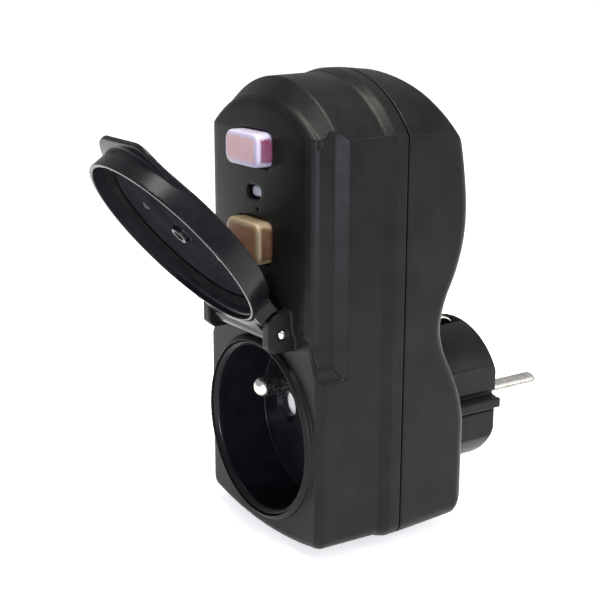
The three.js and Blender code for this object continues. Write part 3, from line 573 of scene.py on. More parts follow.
def metal(name, dark, light, rough, direction="X", line=0.12):
    """Metal with faint lines from drawing or turning, and a little staining."""
    f = Finish(name).set(Metallic=1.0)
    f.colour(f.ramp(f.noise(2.2, 4), [(0.3, dark), (0.7, light)]))
    f.roughness(f.levels(f.noise(0.8, 5), rough - 0.05, rough + 0.1))
    return f.bump(f.bands(line, direction, 1.5), 0.0006, 0.5).material


def silicone(name, node, milky, front, side):
    """Milky rubber, clear enough to show the key where it lies against the faces but not along the edges."""
    low, high = span(node)
    half_height = (high.z - low.z) / 2 - CAP_MARGIN
    f = Finish(name)
    x, y, z = f.axes()
    ragged = f.levels(f.noise(1.6, 3), -0.25 * MM, 0.25 * MM)
    near_side = f.levels(f.maths("ADD", f.maths("ABSOLUTE", x), ragged), 0, 1,
                         (KEY_WIDTH / 2 - 1.5) * MM, (KEY_WIDTH / 2 - 0.9) * MM)
    height = f.maths("ABSOLUTE", f.maths("SUBTRACT", z, (low.z + high.z) / 2 * MM))
    start, end = (half_height - 1.5) * MM, (half_height - 0.9) * MM
    near_end = f.levels(f.maths("ADD", height, ragged), 0, 1, start, end)
    near_front = f.levels(y, 1, 0, (low.y + 0.6) * MM, (low.y + 1.2) * MM)
    edge = f.maths("MAXIMUM", near_end, f.maths("MULTIPLY", near_side, near_front))
    cloud = f.noise(2.2, 4)
    shown = f.mix(near_front, side, front)
    shown = f.mix(f.levels(cloud, 0, 0.22), shown, milky)
    f.colour(f.mix(edge, shown, f.mix(cloud, milky, tuple(c * 0.88 for c in milky))))
    f.roughness(f.levels(f.noise(0.6, 4), 0.3, 0.44))
    f.bump(f.noise(0.5, 2), 0.006, 0.6)
    f.set(Subsurface_Weight=0.12, Subsurface_Scale=0.6 * MM, Coat_Weight=0.2, Coat_Roughness=0.25)
    return f.material


def board_laminate():
    """Solder mask over copper tracks, with plated pads."""
    f = Finish("board_laminate")
    mask = f.ramp(f.noise(3, 3), [(0.3, (0.012, 0.09, 0.035)), (0.7, (0.02, 0.14, 0.055))])
    tracks = f.ramp(f.bands(2.6, "X", 3), [(0.45, (0, 0, 0)), (0.55, (0.6, 0.6, 0.6))])
    pads = f.ramp(f.cells(3.6), [(0.12, (1, 1, 1)), (0.16, (0, 0, 0))])
    green = f.mix(tracks, mask, (0.03, 0.2, 0.07))
    f.colour(f.mix(pads, green, (0.6, 0.58, 0.52)))
    f.roughness(f.levels(f.noise(1, 3), 0.3, 0.45))
    return f.bump(tracks, 0.03).material


def winding():
    """Fine enamelled wire wound in close turns, with painted shade in the grooves between the turns."""
    f = Finish("copper_winding").set(Metallic=0.85)
    turns = f.bands(0.25, "Z", 0.4)
    # The colour follows the same bands as the relief: darker in the grooves between the turns, painted shade.
    f.colour(f.ramp(turns, [(0.2, (0.18, 0.06, 0.02)), (0.6, (0.62, 0.27, 0.12))]))
    f.roughness(f.levels(f.noise(1, 3), 0.25, 0.4))
    return f.bump(turns, 0.06).material


def lens_plastic():
    """Frosted clear window."""
    f = Finish("lens_plastic")
    f.colour(f.ramp(f.noise(1.2, 3), [(0.3, (0.62, 0.65, 0.72)), (0.7, (0.82, 0.84, 0.88))]))
    f.roughness(f.levels(f.noise(0.4, 3), 0.12, 0.3))
    f.bump(f.noise(0.6, 2), 0.01, 0.5)
    return f.set(Transmission_Weight=0.45, IOR=1.45).material


def lamp_glass():
    f = Finish("lamp_glass")
    f.colour(f.ramp(f.noise(1, 2), [(0.3, (0.7, 0.85, 0.72)), (0.7, (0.85, 0.95, 0.86))]))
    f.roughness(f.levels(f.noise(0.5, 3), 0.06, 0.14))
    return f.set(Transmission_Weight=0.5, IOR=1.5).material


CASING = grained_plastic("casing_plastic", (0.0045, 0.0045, 0.004), (0.0078, 0.0078, 0.0071), 0.36)
GLOSS = polished_plastic("gloss_plastic", (0.004, 0.004, 0.005), (0.007, 0.007, 0.009), 0.22)
# Inner faces of the lid: a copy of the lid's plastic with its reflection turned off and its colour set to the
# dim, bluish look of the shaded inside; painted shade, with a faint painted reflection in the bluish tint.
LID_PAINTED_SHADE = polished_plastic("lid_inside_painted_shade", (0.009, 0.009, 0.0115), (0.015, 0.015, 0.018), 0.3, 0)
PLUG_PLASTIC = grained_plastic("plug_plastic", (0.007, 0.007, 0.0073), (0.011, 0.011, 0.0115),
                               0.34, 0.4, 0.016)
RUBBER = plain_plastic("seal_rubber", (0.006, 0.006, 0.006), (0.01, 0.01, 0.01), 0.72, 0.3, 0)
NICKEL = metal("nickel", (0.6, 0.58, 0.54), (0.82, 0.8, 0.76), 0.24)
SCREW = metal("screw_steel", (0.42, 0.42, 0.42), (0.6, 0.6, 0.6), 0.32, "Z", 0.2)
BRASS = metal("brass", (0.5, 0.33, 0.12), (0.72, 0.52, 0.24), 0.28, "Z", 0.3)
SPRING = metal("spring_steel", (0.45, 0.45, 0.46), (0.62, 0.62, 0.63), 0.28, "Y", 0.08)
WHITE = plain_plastic("white_plastic", (0.7, 0.68, 0.62), (0.82, 0.8, 0.75), 0.42)
TEST_CAP = silicone("test_silicone", "test_cap", (0.46, 0.43, 0.54), (0.52, 0.28, 0.28), (0.15, 0.012, 0.05))
RESET_CAP = silicone("reset_silicone", "reset_cap", (0.36, 0.28, 0.17), (0.3, 0.13, 0.06),
                     (0.09, 0.035, 0.015))
RED = plain_plastic("red_plastic", (0.42, 0.015, 0.07), (0.55, 0.03, 0.11), 0.38)
AMBER = plain_plastic("amber_plastic", (0.2, 0.07, 0.022), (0.3, 0.115, 0.035), 0.4)
LENS = lens_plastic()
LAMP = lamp_glass()
BOARD = board_laminate()
DARK = plain_plastic("dark_plastic", (0.03, 0.03, 0.033), (0.05, 0.05, 0.055), 0.4)
SLEEVE = plain_plastic("capacitor_sleeve", (0.04, 0.06, 0.2), (0.06, 0.09, 0.26), 0.3, 1.2)
VARISTOR = plain_plastic("varistor_coat", (0.03, 0.13, 0.34), (0.05, 0.18, 0.42), 0.5, 0.8)
FERRITE = plain_plastic("ferrite", (0.045, 0.05, 0.055), (0.065, 0.07, 0.075), 0.55, 0.25)
WINDING = winding()


# ---- casing ----

def recess_plan(side):
    """Plan of the side recess: slope off the panel, flank, then back out to the side wall."""
    inner, outer = PANEL_HALF - FLANK, PANEL_HALF + 0.5
    corners = [(inner, -FAR), (inner, PANEL_Y + 2.2), (outer, PANEL_Y + 2.8), (outer, RECESS_Y),
               (HALF_WIDTH, RECESS_REAR_Y), (FAR, RECESS_REAR_Y), (FAR, -FAR)]
    return [(side * x, y) for x, y in corners]


def recess_profile(top):
    """Side view of the recess, with its rounded lower end."""
    back, low = RECESS_REAR_Y, RECESS_LOW_Z
    return [(-FAR, low), *curve((back - 5, low), (back, low), (back, low + 7)), (back, top), (-FAR, top)]


def recess_flare(side, top):
    """Front view of the recess, which ends in a curve that widens to the lower block."""
    inner, low = PANEL_HALF - FLANK, RECESS_LOW_Z - 0.5
    widening = curve((inner, FLARE_Z), (inner + 0.8, low + 2), (HALF_WIDTH + GAP, low), 20)
    outline = [(PANEL_HALF + 0.5, top), (PANEL_HALF + 0.5, top - 1), (inner, top - 4), *widening, (FAR, low),
               (FAR, top)]
    return [(side * x, z) for x, z in outline]


def side_recess(side):
    top = SHOULDER_Z + 1.5
    footprint = upright(recess_plan(side), 0, FAR)
    depth = sideways(recess_profile(top), -FAR, FAR)
    return keep(footprint, depth, across(recess_flare(side, top), -FAR, PARTING_Y))


def hinge_lug(side):
    nose = HINGE_Y - LUG_NOSE
    low = HINGE_Z - LUG_BELOW
    outline = [(FRONT_Y + 2, low), (FRONT_Y + 2, HINGE_Z + LUG_R), (HINGE_Y, HINGE_Z + LUG_R)]
    outline += arc(HINGE_Y, HINGE_Z, LUG_R, math.pi / 2, math.pi * 0.75, 10)
    outline += [(nose, HINGE_Z + 2.4), (nose, low + 1.4), (nose + 1.4, low)]
    inner, outer = sorted((side * (LUG_OUTER - LUG_THICK), side * LUG_OUTER))
    return sideways(outline, inner, outer)


def cap_opening(node):
    low, high = span(node)
    z = (low.z + high.z) / 2
    half = (high.z - low.z) / 2 - CAP_MARGIN
    return across(rounded_rectangle(KEY_WIDTH / 2 + GAP, half + GAP, KEY_CORNER, 0, z), -FAR, PANEL_Y + 6)


def screw_post(x, z):
    start = RECESS_REAR_Y - 0.8 if z > 0 else FRONT_Y + 3
    return cut(rod(POST_R, start, PARTING_Y, x, z, 32), rod(POST_BORE, FRONT_Y + 7, PARTING_Y + 1, x, z, 24))


def outline_ring(outer, inner, y0, y1):
    """Ring of the casing outline between two insets."""
    return cut(across(casing_outline(outer), y0, y1), across(casing_outline(inner), y0 - 1, y1 + 1))


def above(z):
    return block((-FAR, -FAR, z), (FAR, FAR, 2 * FAR))


def front_body():
    """An arch with a wide chamfer above, a block with a small rounding below, and the side step."""
    def set_in(inset):
        return casing_outline(STEP + inset)

    tail = (0, PARTING_Y + 6)
    upper = inset_loft(set_in, [(CHAMFER + DRAFT, FRONT_Y), (DRAFT, FRONT_Y + CHAMFER_DEPTH), tail])
    upper = keep(upper, above(SPLIT_Z))
    rim = [(1.6, FRONT_Y), (0.5, FRONT_Y + 0.5), (0, FRONT_Y + 1.6)]
    lower = inset_loft(set_in, [(inset + DRAFT, y) for inset, y in rim] + [tail])
    lower = cut(lower, above(SHOULDER_Z - 2))
    band = inset_loft(casing_outline, [(STEP + 0.05, STEP_Y), (0, STEP_Y + 2.3), (0, PARTING_Y + 4)])
    return join(upper, lower, band)


def panel_bulge():
    """Raised panel with a faint crown; each pair is how far in and how far down."""
    crown = [(17, 0), (13.5, 0.06), (10.5, 0.16), (8, 0.29), (6, 0.43), (4, 0.6), (2.4, 0.85), (0.9, 1.55),
             (0, 2.3)]
    return inset_loft(panel_outline, [(inset, PANEL_Y + drop) for inset, drop in crown] + [(0, FRONT_Y + 5)])


def socket_collar():
    return turned([(MOUTH_R - 2, FRONT_Y + 3), (COLLAR_R, FRONT_Y + 3), (COLLAR_R, MOUTH_Y + 1.1),
                   (MOUTH_R, MOUTH_Y), (MOUTH_R - 2, MOUTH_Y)])


def front_hollows():
    """Inside of the front shell: narrow behind the panel, wide behind the side recess."""
    step = RECESS_REAR_Y + 1
    narrow = keep(across(casing_outline(STEP + 6.5), PANEL_Y + WALL, step + 0.1), above(-18))
    return [narrow, across(casing_outline(STEP + WALL), step, PARTING_Y + 2)]


def front_openings():
    trough_end = LUG_OUTER - LUG_THICK
    window = rounded_rectangle(LAMP_HALF_WIDTH + 0.35, LAMP_HALF_HEIGHT + GAP, 1.5, 0, LAMP_Z)
    return [
        rod(MOUTH_R, -FAR, -30),
        outline_ring(0.65, 1.85, PARTING_Y - 1.5, PARTING_Y + 1),
        cross_rod(BARREL_R + 0.4, -trough_end, trough_end, HINGE_Y, HINGE_Z),
        cross_rod(HINGE_BORE, -20, 20, HINGE_Y, HINGE_Z),
        cap_opening("test_cap"),
        cap_opening("reset_cap"),
        across(window, -FAR, PANEL_Y + 6),
        rod(0.38, -FAR, PANEL_Y + 0.7, 1.6, LAMP_Z - 3.7, 24),
    ]


def front_shell():
    shell = cut(front_body(), side_recess(1), side_recess(-1))
    behind = block((-FAR, PARTING_Y, -FAR), (FAR, FAR, 2 * FAR))
    shell = cut(join(shell, panel_bulge(), socket_collar()), behind)
    shell = cut(shell, *front_hollows())
    shell = join(shell, *[screw_post(x, z) for x, z, _ in SCREW_PLACES], hinge_lug(1), hinge_lug(-1))
    shell = cut(shell, *front_openings())
    moulded(shell, VOXEL, 2, 0.3)
    return finish_piece(shell, "front_casing", "casing", ["front_shell"], CASING)


# Depth of the back at each height, as (z, y): roof, bulge, waist, then the flat base.
REAR_DEPTH = [(APEX_Z + 1, -28.5), (79.5, -24.6), (75, -22.6), (68, -20.5), (60, -19), (52, -18.2),
              (45, -18.6), (38, -20.5), (31, -23.6), (25, -24.9), (19.5, -23.8), (13, -20.7), (7, -18.2),
              (1, REAR_Y), (-6, REAR_Y), (BELLY_Z - 1, REAR_Y)]


def spline(points, steps=16):
    """Centripetal Catmull-Rom curve through points in a plane."""
    first = 2 * Vector(points[0]) - Vector(points[1])
    last = 2 * Vector(points[-1]) - Vector(points[-2])
    knots = [first, *[Vector(p) for p in points], last]
    samples = []
    for a, b, c, d in zip(knots, knots[1:], knots[2:], knots[3:]):
        t1 = (b - a).length ** 0.5
        t2 = t1 + (c - b).length ** 0.5
        t3 = t2 + (d - c).length ** 0.5
        for i in range(steps):
            t = t1 + (t2 - t1) * i / steps
            ab = a.lerp(b, t / t1)
            bc = b.lerp(c, (t - t1) / (t2 - t1))
            cd = c.lerp(d, (t - t2) / (t3 - t2))
            abc = ab.lerp(bc, t / t2)
            bcd = bc.lerp(cd, (t - t1) / (t3 - t1))
            samples.append(abc.lerp(bcd, (t - t1) / (t2 - t1)))
    return samples + [knots[-2]]


REAR_SAMPLES = spline(REAR_DEPTH)


def rear_depth(z):
    for a, b in zip(REAR_SAMPLES, REAR_SAMPLES[1:]):
        if b.x <= z <= a.x:
            return a.y + (b.y - a.y) * (a.x - z) / (a.x - b.x)
    return REAR_Y if z < BELLY_Z else REAR_SAMPLES[0].y


def rear_body(inset):
    """Rear half of the casing: rim, rounded edge, then the waved back closing in to its middle."""
    outline = filled(casing_outline(inset))
    half = HALF_WIDTH - inset
    edge = REAR_EDGE - inset
    front = PARTING_Y + GAP - (2 if inset else 0)
    rings = [[(x, front, z) for x, z in outline]]
    turns = 12
    sizes = []
    for i in range(turns + 1):
        angle = i / turns * math.pi / 2
        sizes.append((1 - (REAR_DRAFT + edge * (1 - math.cos(angle))) / half, edge * (1 - math.sin(angle))))
    inwards = 24
    rim = sizes[-1][0]
    sizes += [(rim * (1 - i / inwards), 0) for i in range(1, inwards)] + [(0.004, 0)]
    for scale, drop in sizes:
        ring = []
        for x, z in outline:
            height = REAR_CENTRE_Z + (z - REAR_CENTRE_Z) * scale
            back = max(rear_depth(height) - inset - drop, front + 0.5)
            ring.append((x * scale, back, height))
        rings.append(ring)
    return loft(rings)


def rear_shell():
    shell = cut(rear_body(0), rear_body(WALL))
    towers = [keep(rod(TOWER_R, PARTING_Y + 1, y - 1.5, x, z, 40), rear_body(0.8))
              for x, z, y in SCREW_PLACES]
    shell = join(shell, *towers)
    holes = [rod(TOWER_BORE, PARTING_Y - 5, 0, x, z, 32) for x, z, _ in SCREW_PLACES]
    holes += [rod(SINK_R, y - SINK_DEPTH, 5, x, z, 40) for x, z, y in SCREW_PLACES]
    shell = cut(shell, *holes, rod(PLUG_R + GAP, PARTING_Y - 5, 5))
    moulded(shell, VOXEL, 2, 0.3)
    return finish_piece(shell, "rear_casing", "casing", ["rear_shell"], CASING)


def casing_screw(number):
    x, z, y = SCREW_PLACES[number - 1]
    head = y - HEAD_BELOW
    tip, top = head - SCREW_LENGTH, head + HEAD_HEIGHT
    profile = [(0, tip), (SCREW_R, tip + 1), (SCREW_R, head), (HEAD_R, head), (HEAD_R, head + 1.2),
               (2.1, top), (0, top)]
    body = turned(softened_profile(profile, 0.25), x, z, 64)
    slots = [block((x - a, head + 1, z - b), (x + a, head + 4, z + b)) for a, b in ((1.6, 0.4), (0.4, 1.6))]
    body = sharpen(cut(body, *slots))
    name = f"casing_screw_{number}"
    return finish_piece(body, f"{name}_turned", "casing", [name], SCREW)


# ---- socket ----

def contact_hole(side):
    """Opening for one pin of a plug, with a cone that guides it in."""
    x = side * PIN_PITCH / 2
    mouth = WELL_FLOOR_Y - 1
    hole = rod(CONTACT_HOLE_R, WELL_FLOOR_Y - 5, WELL_FLOOR_Y + 5, x, 0, 64)
    cone = turned([(0, mouth), (4.3, mouth), (4.3, WELL_FLOOR_Y - 0.01), (3, WELL_FLOOR_Y + 1.1),
                   (0, WELL_FLOOR_Y + 1.1)], x, 0, 64)
    return [hole, cone]


def socket_insert():
    outer, front, back = MOUTH_R - GAP, MOUTH_Y + 0.7, WELL_FLOOR_Y + WELL_FLOOR
    profile = [(0, WELL_FLOOR_Y), (WELL_R, WELL_FLOOR_Y), (WELL_R, MOUTH_Y + 1.6), (WELL_R + 0.9, front),
               (outer, front), (outer, back), (0, back)]
    cup = turned(softened_profile(profile, 0.5), 0, 0, 160)
    pin_hole = rod(PIN_R + GAP, WELL_FLOOR_Y - 5, WELL_FLOOR_Y + 5, 0, EARTH_Z, 64)
    cup = cut(cup, *contact_hole(-1), *contact_hole(1), pin_hole)
    return finish_piece(sharpen(cup), "socket_well", "casing", ["socket_insert"], GLOSS)


def dome_profile(radius, height, tip_y, steps):
    """Profile of a rounded end from its tip on the axis out to the full radius."""
    turns = [i / steps * math.pi / 2 for i in range(steps + 1)]
    dome = [(radius * math.sin(a), tip_y + height * (1 - math.cos(a))) for a in turns]
    return [(0, tip_y), *dome[1:]]


def domed_pin(node, tip_y, root_y, x, z):
    height = PIN_R * DOME if root_y > tip_y else -PIN_R * DOME
    profile = dome_profile(PIN_R, height, tip_y, 14) + [(PIN_R, root_y), (0, root_y)]
    body = sharpen(turned(profile, x, z, 72))
    return finish_piece(body, f"{node}_turned", "casing", [node], NICKEL)


def hinge_pin():
    """Plain pin with its ends chamfered."""
    half, end, sides = PIN_HIGH.x, 0.25, 48
    last = 2 * math.pi * (1 - 1 / sides)
    rings = []
    for x, radius in ((-half, 0.7), (-half + end, 1), (half - end, 1), (half, 0.7)):
        rings.append([(x, y, z) for y, z in arc(HINGE_Y, HINGE_Z, radius, 0, last, sides - 1)])
    body = sharpen(loft(rings), 50)
    return finish_piece(body, "hinge_pin_turned", "casing", ["hinge_pin"], NICKEL)


# ---- lid ----

def lid_place():
    """From the closed lid, with its hinge axis at the origin, to where it is at rest."""
    return Matrix.Translation((0, HINGE_Y, HINGE_Z)) @ Matrix.Rotation(-LID_OPEN, 4, "X")


def lid_outline():
    """Edge of the lid with its lip, which leaves the edge along its tangents and has round corners."""
    middle = LIP_REACH - LIP_CORNER
    spread = math.acos((LID_R - LIP_CORNER) / math.hypot(LIP_HALF, middle))
    turn = math.atan2(LIP_HALF, middle) + spread
    down = -math.pi / 2
    left = arc(-LIP_HALF, LID_CENTRE - middle, LIP_CORNER, down - turn, down, 20)
    right = arc(LIP_HALF, LID_CENTRE - middle, LIP_CORNER, down, down + turn, 20)
    edge = arc(0, LID_CENTRE, LID_EDGE_R, down + turn, down - turn + 2 * math.pi, 120)
    return filled([*left, *right, *edge], 1)


def lift_lip(lid):
    """Bends the tip of the lip slightly outwards and leaves the skirt as it is."""
    for vertex in lid.data.vertices:
        beyond = max(0, LID_CENTRE - LIP_BEND - vertex.co.z) / (LIP_REACH - LIP_BEND)
        outer = min(1, max(0, LID_TOP + 2.2 - vertex.co.y))
        vertex.co.y -= LIP_LIFT * outer * beyond ** 2


def inside_faces(lid):
    """For each face, 1 if it lies on the inner face of the lid and 0 if not."""
    found = []
    for polygon in lid.data.polygons:
        x, y, z = polygon.center
        radius = math.hypot(x, z - LID_CENTRE)
        on_floor = LID_FLOOR - 0.4 < y < LID_FLOOR + 0.12 and radius < LID_R - 0.9
        on_wall = LID_R - 1.7 < radius < LID_R - 0.8 and LID_FLOOR - 0.4 < y < LID_RIM - 0.25
        found.append(int(on_floor or on_wall))
    return found


def lid_disc():
    profile = [(0, LID_TOP), (LID_R - 1.6, LID_TOP), (LID_R - 0.6, LID_TOP + 0.4),
               (LID_EDGE_R, LID_TOP + 1.1), (LID_R, LID_RIM), (LID_R - 1.0, LID_RIM),
               (LID_R - 1.3, LID_FLOOR), (0, LID_FLOOR)]
    return turned(profile, 0, LID_CENTRE, 180)


def lid_hub():
    foot, rim, dip = LID_TOP + 1, LID_TOP + 3.2, LID_TOP + 2.4
    return turned([(0, foot), (2.6, foot), (2.2, rim), (1.3, rim), (1, dip), (0, dip)], 0, LID_CENTRE, 64)


def lid_mark(x, z):
    """Small raised mark on the inner face of the lid."""
    foot, face = LID_FLOOR - 1, LID_FLOOR
    profile = [(0, foot), (1.1, foot), (1.1, face + 0.1), (0.6, face + 0.4), (0, face + 0.5)]
    return turned(profile, x, LID_CENTRE + z, 48)


def lid_bridge():
    """Tongue from the skirt to the hinge, kept clear of the lugs."""
    half = LUG_OUTER - 0.4
    tongue = block((-half, LID_TOP + 0.2, -8.5), (half, LID_RIM - 0.4, -2.2))
    arm = block((-BARREL_HALF, -2.4, -6), (BARREL_HALF, 2, -1))
    sweep = LUG_R + 0.5
    clear = [cross_rod(sweep, -30, -BARREL_HALF, 0, 0), cross_rod(sweep, BARREL_HALF, 30, 0, 0)]
    return cut(join(tongue, arm), rod(LID_R - 1, LID_FLOOR, 10, 0, LID_CENTRE), *clear)


def socket_lid():
    flange = across(lid_outline(), LID_TOP, LID_TOP + LIP_THICK)
    marks = [lid_mark(x, z) for x, z in ((9.5, 6), (-9.5, -6), (9.5, -10))]
    barrel = cross_rod(BARREL_R, -BARREL_HALF, BARREL_HALF, 0, 0)
    lid = join(lid_disc(), flange, lid_hub(), *marks, lid_bridge(), barrel)
    relief = rod(COLLAR_R + GAP, MOUTH_Y - HINGE_Y - GAP, 10, 0, -HINGE_Z)
    lid = cut(lid, relief, cross_rod(HINGE_BORE, -30, 30, 0, 0))
    moulded(lid, FINE_VOXEL, 3, 0.7)
    lift_lip(lid)
    inside = inside_faces(lid)
    lid.data.transform(lid_place())
    finish_piece(lid, "lid_moulding", "lid", ["socket_lid"], GLOSS)
    # The inner faces get the copy with painted shade in place of the lid's own reflections.
    lid.data.materials.append(LID_PAINTED_SHADE)
    lid.data.polygons.foreach_set("material_index", inside)


def lid_seal():
    inner, outer = LID_R - 4.1, LID_R - 1.7
    base = LID_FLOOR + GAP
    profile = [(inner, base), (outer, base), (outer, base + 1.2), (outer - 0.5, base + 1.2),
               (inner + 0.3, base + 0.35)]
    ring = turned(softened_profile(profile, 0.4), 0, LID_CENTRE, 160)
    ring.data.transform(lid_place())
    finish_piece(ring, "lid_seal_ring", "lid", ["lid_seal"], RUBBER)


# ---- buttons ----

def button_cap(kind, finish):
    """Silicone boot with a flange behind the panel."""
    low, high = span(f"{kind}_cap")
    z = (low.z + high.z) / 2
    front = low.y
    w, h = KEY_WIDTH / 2, (high.z - low.z) / 2 - CAP_MARGIN
    sections = [(1.2, front), (0.4, front + 0.15), (0.1, front + 0.5), (0, front + 1), (0, high.y - 0.2)]
    boot = inset_loft(lambda inset: rounded_rectangle(w - inset, h - inset, KEY_CORNER - inset * 0.5, 0, z),
                      sections)
    flange = across(rounded_rectangle(w + 1.2, h + CAP_MARGIN, KEY_CORNER, 0, z), high.y - 0.7, high.y)
    hollow = across(rounded_rectangle(w - CAP_WALL, h - CAP_WALL, 1.4, 0, z), front + CAP_WALL, -50)
    boot = cut(join(boot, flange), hollow)
    moulded(boot, CAP_VOXEL, 2)
    finish_piece(boot, f"{kind}_boot", f"{kind}_button", [f"{kind}_cap"], finish)


def button_key(kind, finish):
    """Key that fills the cap, with a flange and a stem behind it."""
    cap_low, cap_high = span(f"{kind}_cap")
    low, high = span(f"{kind}_key")
    z = (cap_low.z + cap_high.z) / 2
    w = KEY_WIDTH / 2 - CAP_WALL - GAP
    h = (cap_high.z - cap_low.z) / 2 - CAP_MARGIN - CAP_WALL - GAP
    back = high.y - 2.9
    sections = [(0.5, low.y), (0.15, low.y + 0.12), (0, low.y + 0.4), (0, back - 0.1)]
    key = inset_loft(lambda inset: rounded_rectangle(w - inset, h - inset, 1.2 - inset * 0.5, 0, z), sections)
    flange = across(rounded_rectangle(w + 1.8, h + 1.6, 1.6, 0, z), back - 1.1, back)
    key = sharpen(join(key, flange, rod(1.5, back - 0.5, high.y, 0, z, 40)))
    finish_piece(key, f"{kind}_key_moulding", f"{kind}_button", [f"{kind}_key"], finish)


def indicator_window():
    low, high = span("indicator_lens")
    w, h = LAMP_HALF_WIDTH, LAMP_HALF_HEIGHT
    window = inset_loft(lambda inset: rounded_rectangle(w - inset, h - inset, 1.2 - inset, 0, LAMP_Z),
                        [(0.5, low.y), (0.2, low.y + 0.1), (0, low.y + 0.4), (0, high.y)])
    finish_piece(sharpen(window, 40), "indicator_window", "casing", ["indicator_lens"], LENS)


def indicator_bulb():
    low, high = span("indicator_lamp")
    profile = dome_profile(LAMP_R, LAMP_R, low.y, 12) + [(LAMP_R, high.y), (0, high.y)]
    lamp = turned(profile, 0, LAMP_Z, 48)
    finish_piece(sharpen(lamp), "indicator_bulb", "casing", ["indicator_lamp"], LAMP)


# ---- plug ----

def clip_slot(end):
    """Slot for the upper or the lower earth clip."""
    low, high = sorted((end * CLIP_SLOT_Z, end * 25))
    return block((-CLIP_HALF - 0.8, -40, low), (CLIP_HALF + 0.8, CLIP_SLOT_END_Y, high))


def rib_groove(side, end):
    """Groove above or below one guide rib."""
    left, right = sorted((side * (PLUG_FLAT - 1.2), side * 25))
    low, high = sorted((end * RIB_HALF, end * (RIB_HALF + RIB_GROOVE)))
    return block((left, REAR_Y + 3, low), (right, 5, high))


def plug_body():
    front = turned([(0, PLUG_INNER_Y), (PLUG_R, PLUG_INNER_Y), (PLUG_R, -1), (PLUG_R - 1, 0), (0, 0)])
    front = keep(front, block((-PLUG_FLAT, -40, -30), (PLUG_FLAT, 10, 30)))
    root = rod(PLUG_R, PLUG_INNER_Y, REAR_Y + 2.5)
    ribs = block((-RIB_REACH, REAR_Y, -RIB_HALF), (RIB_REACH, -0.4, RIB_HALF))
    tools = [rod(PIN_R + GAP, -40, 10, side * PIN_PITCH / 2, 0, 64) for side in (-1, 1)]
    for end in (-1, 1):
        tools += [clip_slot(end), rib_groove(-1, end), rib_groove(1, end)]
    tools.append(rod(EARTH_HOLE_R, -20, 5, 0, EARTH_Z, 64))
    body = cut(join(front, root, ribs), *tools)
    moulded(body, PLUG_VOXEL, 3, 0.7)
    return finish_piece(body, "plug_moulding", "casing", ["plug_body"], PLUG_PLASTIC)


def earth_clip(name, end):
    """Bowed spring strip, drawn along a smooth curve."""
    outer = spline([(-25.6, 16.2), (-17, 16.6), (-12, 18.4), (-9, 19.5), (-6.5, 19.5), (-4.6, 18.3),
                    (-3.6, 16.5), (-2.2, 16.2)], 8)
    strip = [(p.x, end * (p.y + 0.25)) for p in outer] + [(p.x, end * (p.y - 0.35)) for p in reversed(outer)]
    body = sideways(strip, -CLIP_HALF, CLIP_HALF)
    edges = body.modifiers.new("edges", "BEVEL")
    edges.width = 0.12
    edges.segments = 2
    edges.limit_method = "ANGLE"
    edges.angle_limit = math.radians(50)
    body = sharpen(evaluated(body))
    return finish_piece(body, f"{name}_strip", "casing", [name], NICKEL)


def earth_sleeve():
    low, high = span("plug_earth_sleeve")
    profile = [(2.55, low.y), (3, low.y), (3, high.y), (2.55, high.y)]
    body = sharpen(turned(softened_profile(profile, 0.15, 3), 0, EARTH_Z, 72))
    return finish_piece(body, "earth_sleeve_turned", "casing", ["plug_earth_sleeve"], NICKEL)


# ---- carried-over CAD nodes ----

CARRIED = {
    "casing_seal": RUBBER, "safety_shutter": WHITE, "shutter_spring": SPRING, "live_contact": BRASS,
    "neutral_contact": BRASS, "earth_strap": BRASS, "test_spring": SPRING, "reset_spring": SPRING,
    "circuit_board": BOARD, "test_switch": DARK, "reset_switch": DARK, "control_chip": DARK,
    "smoothing_capacitor": SLEEVE, "varistor": VARISTOR, "ring_core": FERRITE, "trip_coil": WINDING,
    "trip_plunger": SCREW, "contact_carrier": WHITE, "moving_contact_line": BRASS,
    "moving_contact_neutral": BRASS, "line_bar_live": BRASS, "line_bar_neutral": BRASS,
    "load_strap_live": BRASS, "load_strap_neutral": BRASS,
}


def finish_carried():
    for name, finish in CARRIED.items():
        node = NODES[name]
        node.data.materials.clear()
        node.data.materials.append(finish)


# ---- stage ----

def stage():
    """Pale ground that reaches to the horizon, just under the object."""
    floor_mesh = bmesh.new()
    reach = 40.0
    floor_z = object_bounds()[0].z - 0.0002
    corners = [(-reach, -reach), (reach, -reach), (reach, reach), (-reach, reach)]
    floor_mesh.faces.new([floor_mesh.verts.new((x, y, floor_z)) for x, y in corners])
    data = bpy.data.meshes.new("floor")
    floor_mesh.to_mesh(data)
    floor_mesh.free()
    floor = bpy.data.objects.new("floor", data)
    bpy.context.scene.collection.objects.link(floor)
    pale = Finish("floor_pale")
    pale.colour(pale.ramp(pale.noise(60, 2), [(0.3, (0.9, 0.9, 0.89)), (0.7, (0.93, 0.93, 0.92))]))
    pale.set(Roughness=0.9, Emission_Color=(1, 1, 1, 1), Emission_Strength=0.62)
    data.materials.append(pale.material)
    floor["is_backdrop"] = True


def area_light(name, azimuth, elevation, distance, size, power, colour=(1, 1, 1)):
    """Soft rectangular light aimed at the middle of the object."""
    light = bpy.data.lights.new(name, "AREA")
    light.shape = "RECTANGLE"
    light.size, light.size_y = size
    light.energy = power
    light.color = colour
    made = bpy.data.objects.new(name, light)
    bpy.context.scene.collection.objects.link(made)
    a, e = math.radians(azimuth), math.radians(elevation)
    towards = Vector((math.sin(a) * math.cos(e), -math.cos(a) * math.cos(e), math.sin(e)))
    target = (CAD_BOX[0] + CAD_BOX[1]) / 2
    made.location = target + towards * distance
    made.rotation_euler = (-towards).to_track_quat("-Z", "Y").to_euler()


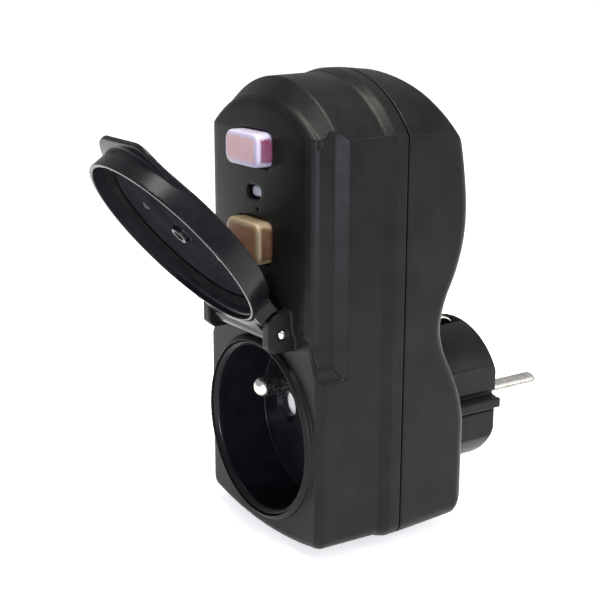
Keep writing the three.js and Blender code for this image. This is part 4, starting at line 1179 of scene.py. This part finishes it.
def lights():
    world = bpy.data.worlds.new("studio")
    bpy.context.scene.world = world
    world.use_nodes = True
    world.node_tree.nodes["Background"].inputs["Color"].default_value = (1, 1, 1, 1)
    world.node_tree.nodes["Background"].inputs["Strength"].default_value = 0.42
    bpy.context.scene.view_settings.view_transform = "Standard"
    area_light("top_box", 60, 82, 0.7, (0.45, 0.45), 9.5, (1, 0.98, 0.92))
    area_light("front_box", 46, 6, 0.6, (0.12, 0.12), 2.4, (0.72, 0.76, 1.0))
    area_light("rear_box", 125, 30, 0.8, (0.4, 0.4), 2.0)


def camera():
    """Three-quarter view from the front right, slightly above."""
    azimuth, elevation, roll = math.radians(56.371), math.radians(14.931), math.radians(0.161)
    distance = 0.26479
    target = Vector((0.018572, -0.0611, 0.035429))
    back = Vector((math.sin(azimuth) * math.cos(elevation), -math.cos(azimuth) * math.cos(elevation),
                   math.sin(elevation)))
    data = bpy.data.cameras.new("camera")
    data.lens = 73.34
    data.sensor_width = 36
    data.clip_start, data.clip_end = 0.01, 50
    made = bpy.data.objects.new("camera", data)
    bpy.context.scene.collection.objects.link(made)
    made.location = target + back * distance
    made.rotation_mode = "QUATERNION"
    tilt = Matrix.Rotation(roll, 3, "Z").to_quaternion()
    made.rotation_quaternion = (-back).to_track_quat("-Z", "Y") @ tilt
    bpy.context.scene.camera = made


camera()
front_shell()
rear_shell()
for screw in range(1, 5):
    casing_screw(screw)
socket_insert()
domed_pin("earth_pin", MOUTH_Y + 0.35, span("earth_pin")[1].y, 0, EARTH_Z)
hinge_pin()
socket_lid()
lid_seal()
button_cap("test", TEST_CAP)
button_key("test", RED)
button_cap("reset", RESET_CAP)
button_key("reset", AMBER)
indicator_window()
indicator_bulb()
plug_body()
for pin_name, pin_side in (("plug_pin_live", 1), ("plug_pin_neutral", -1)):
    pin_low, pin_high = span(pin_name)
    domed_pin(pin_name, pin_high.y, pin_low.y, pin_side * PIN_PITCH / 2, 0)
earth_clip("earth_clip_top", 1)
earth_clip("earth_clip_bottom", -1)
earth_sleeve()
finish_carried()
lights()
stage()
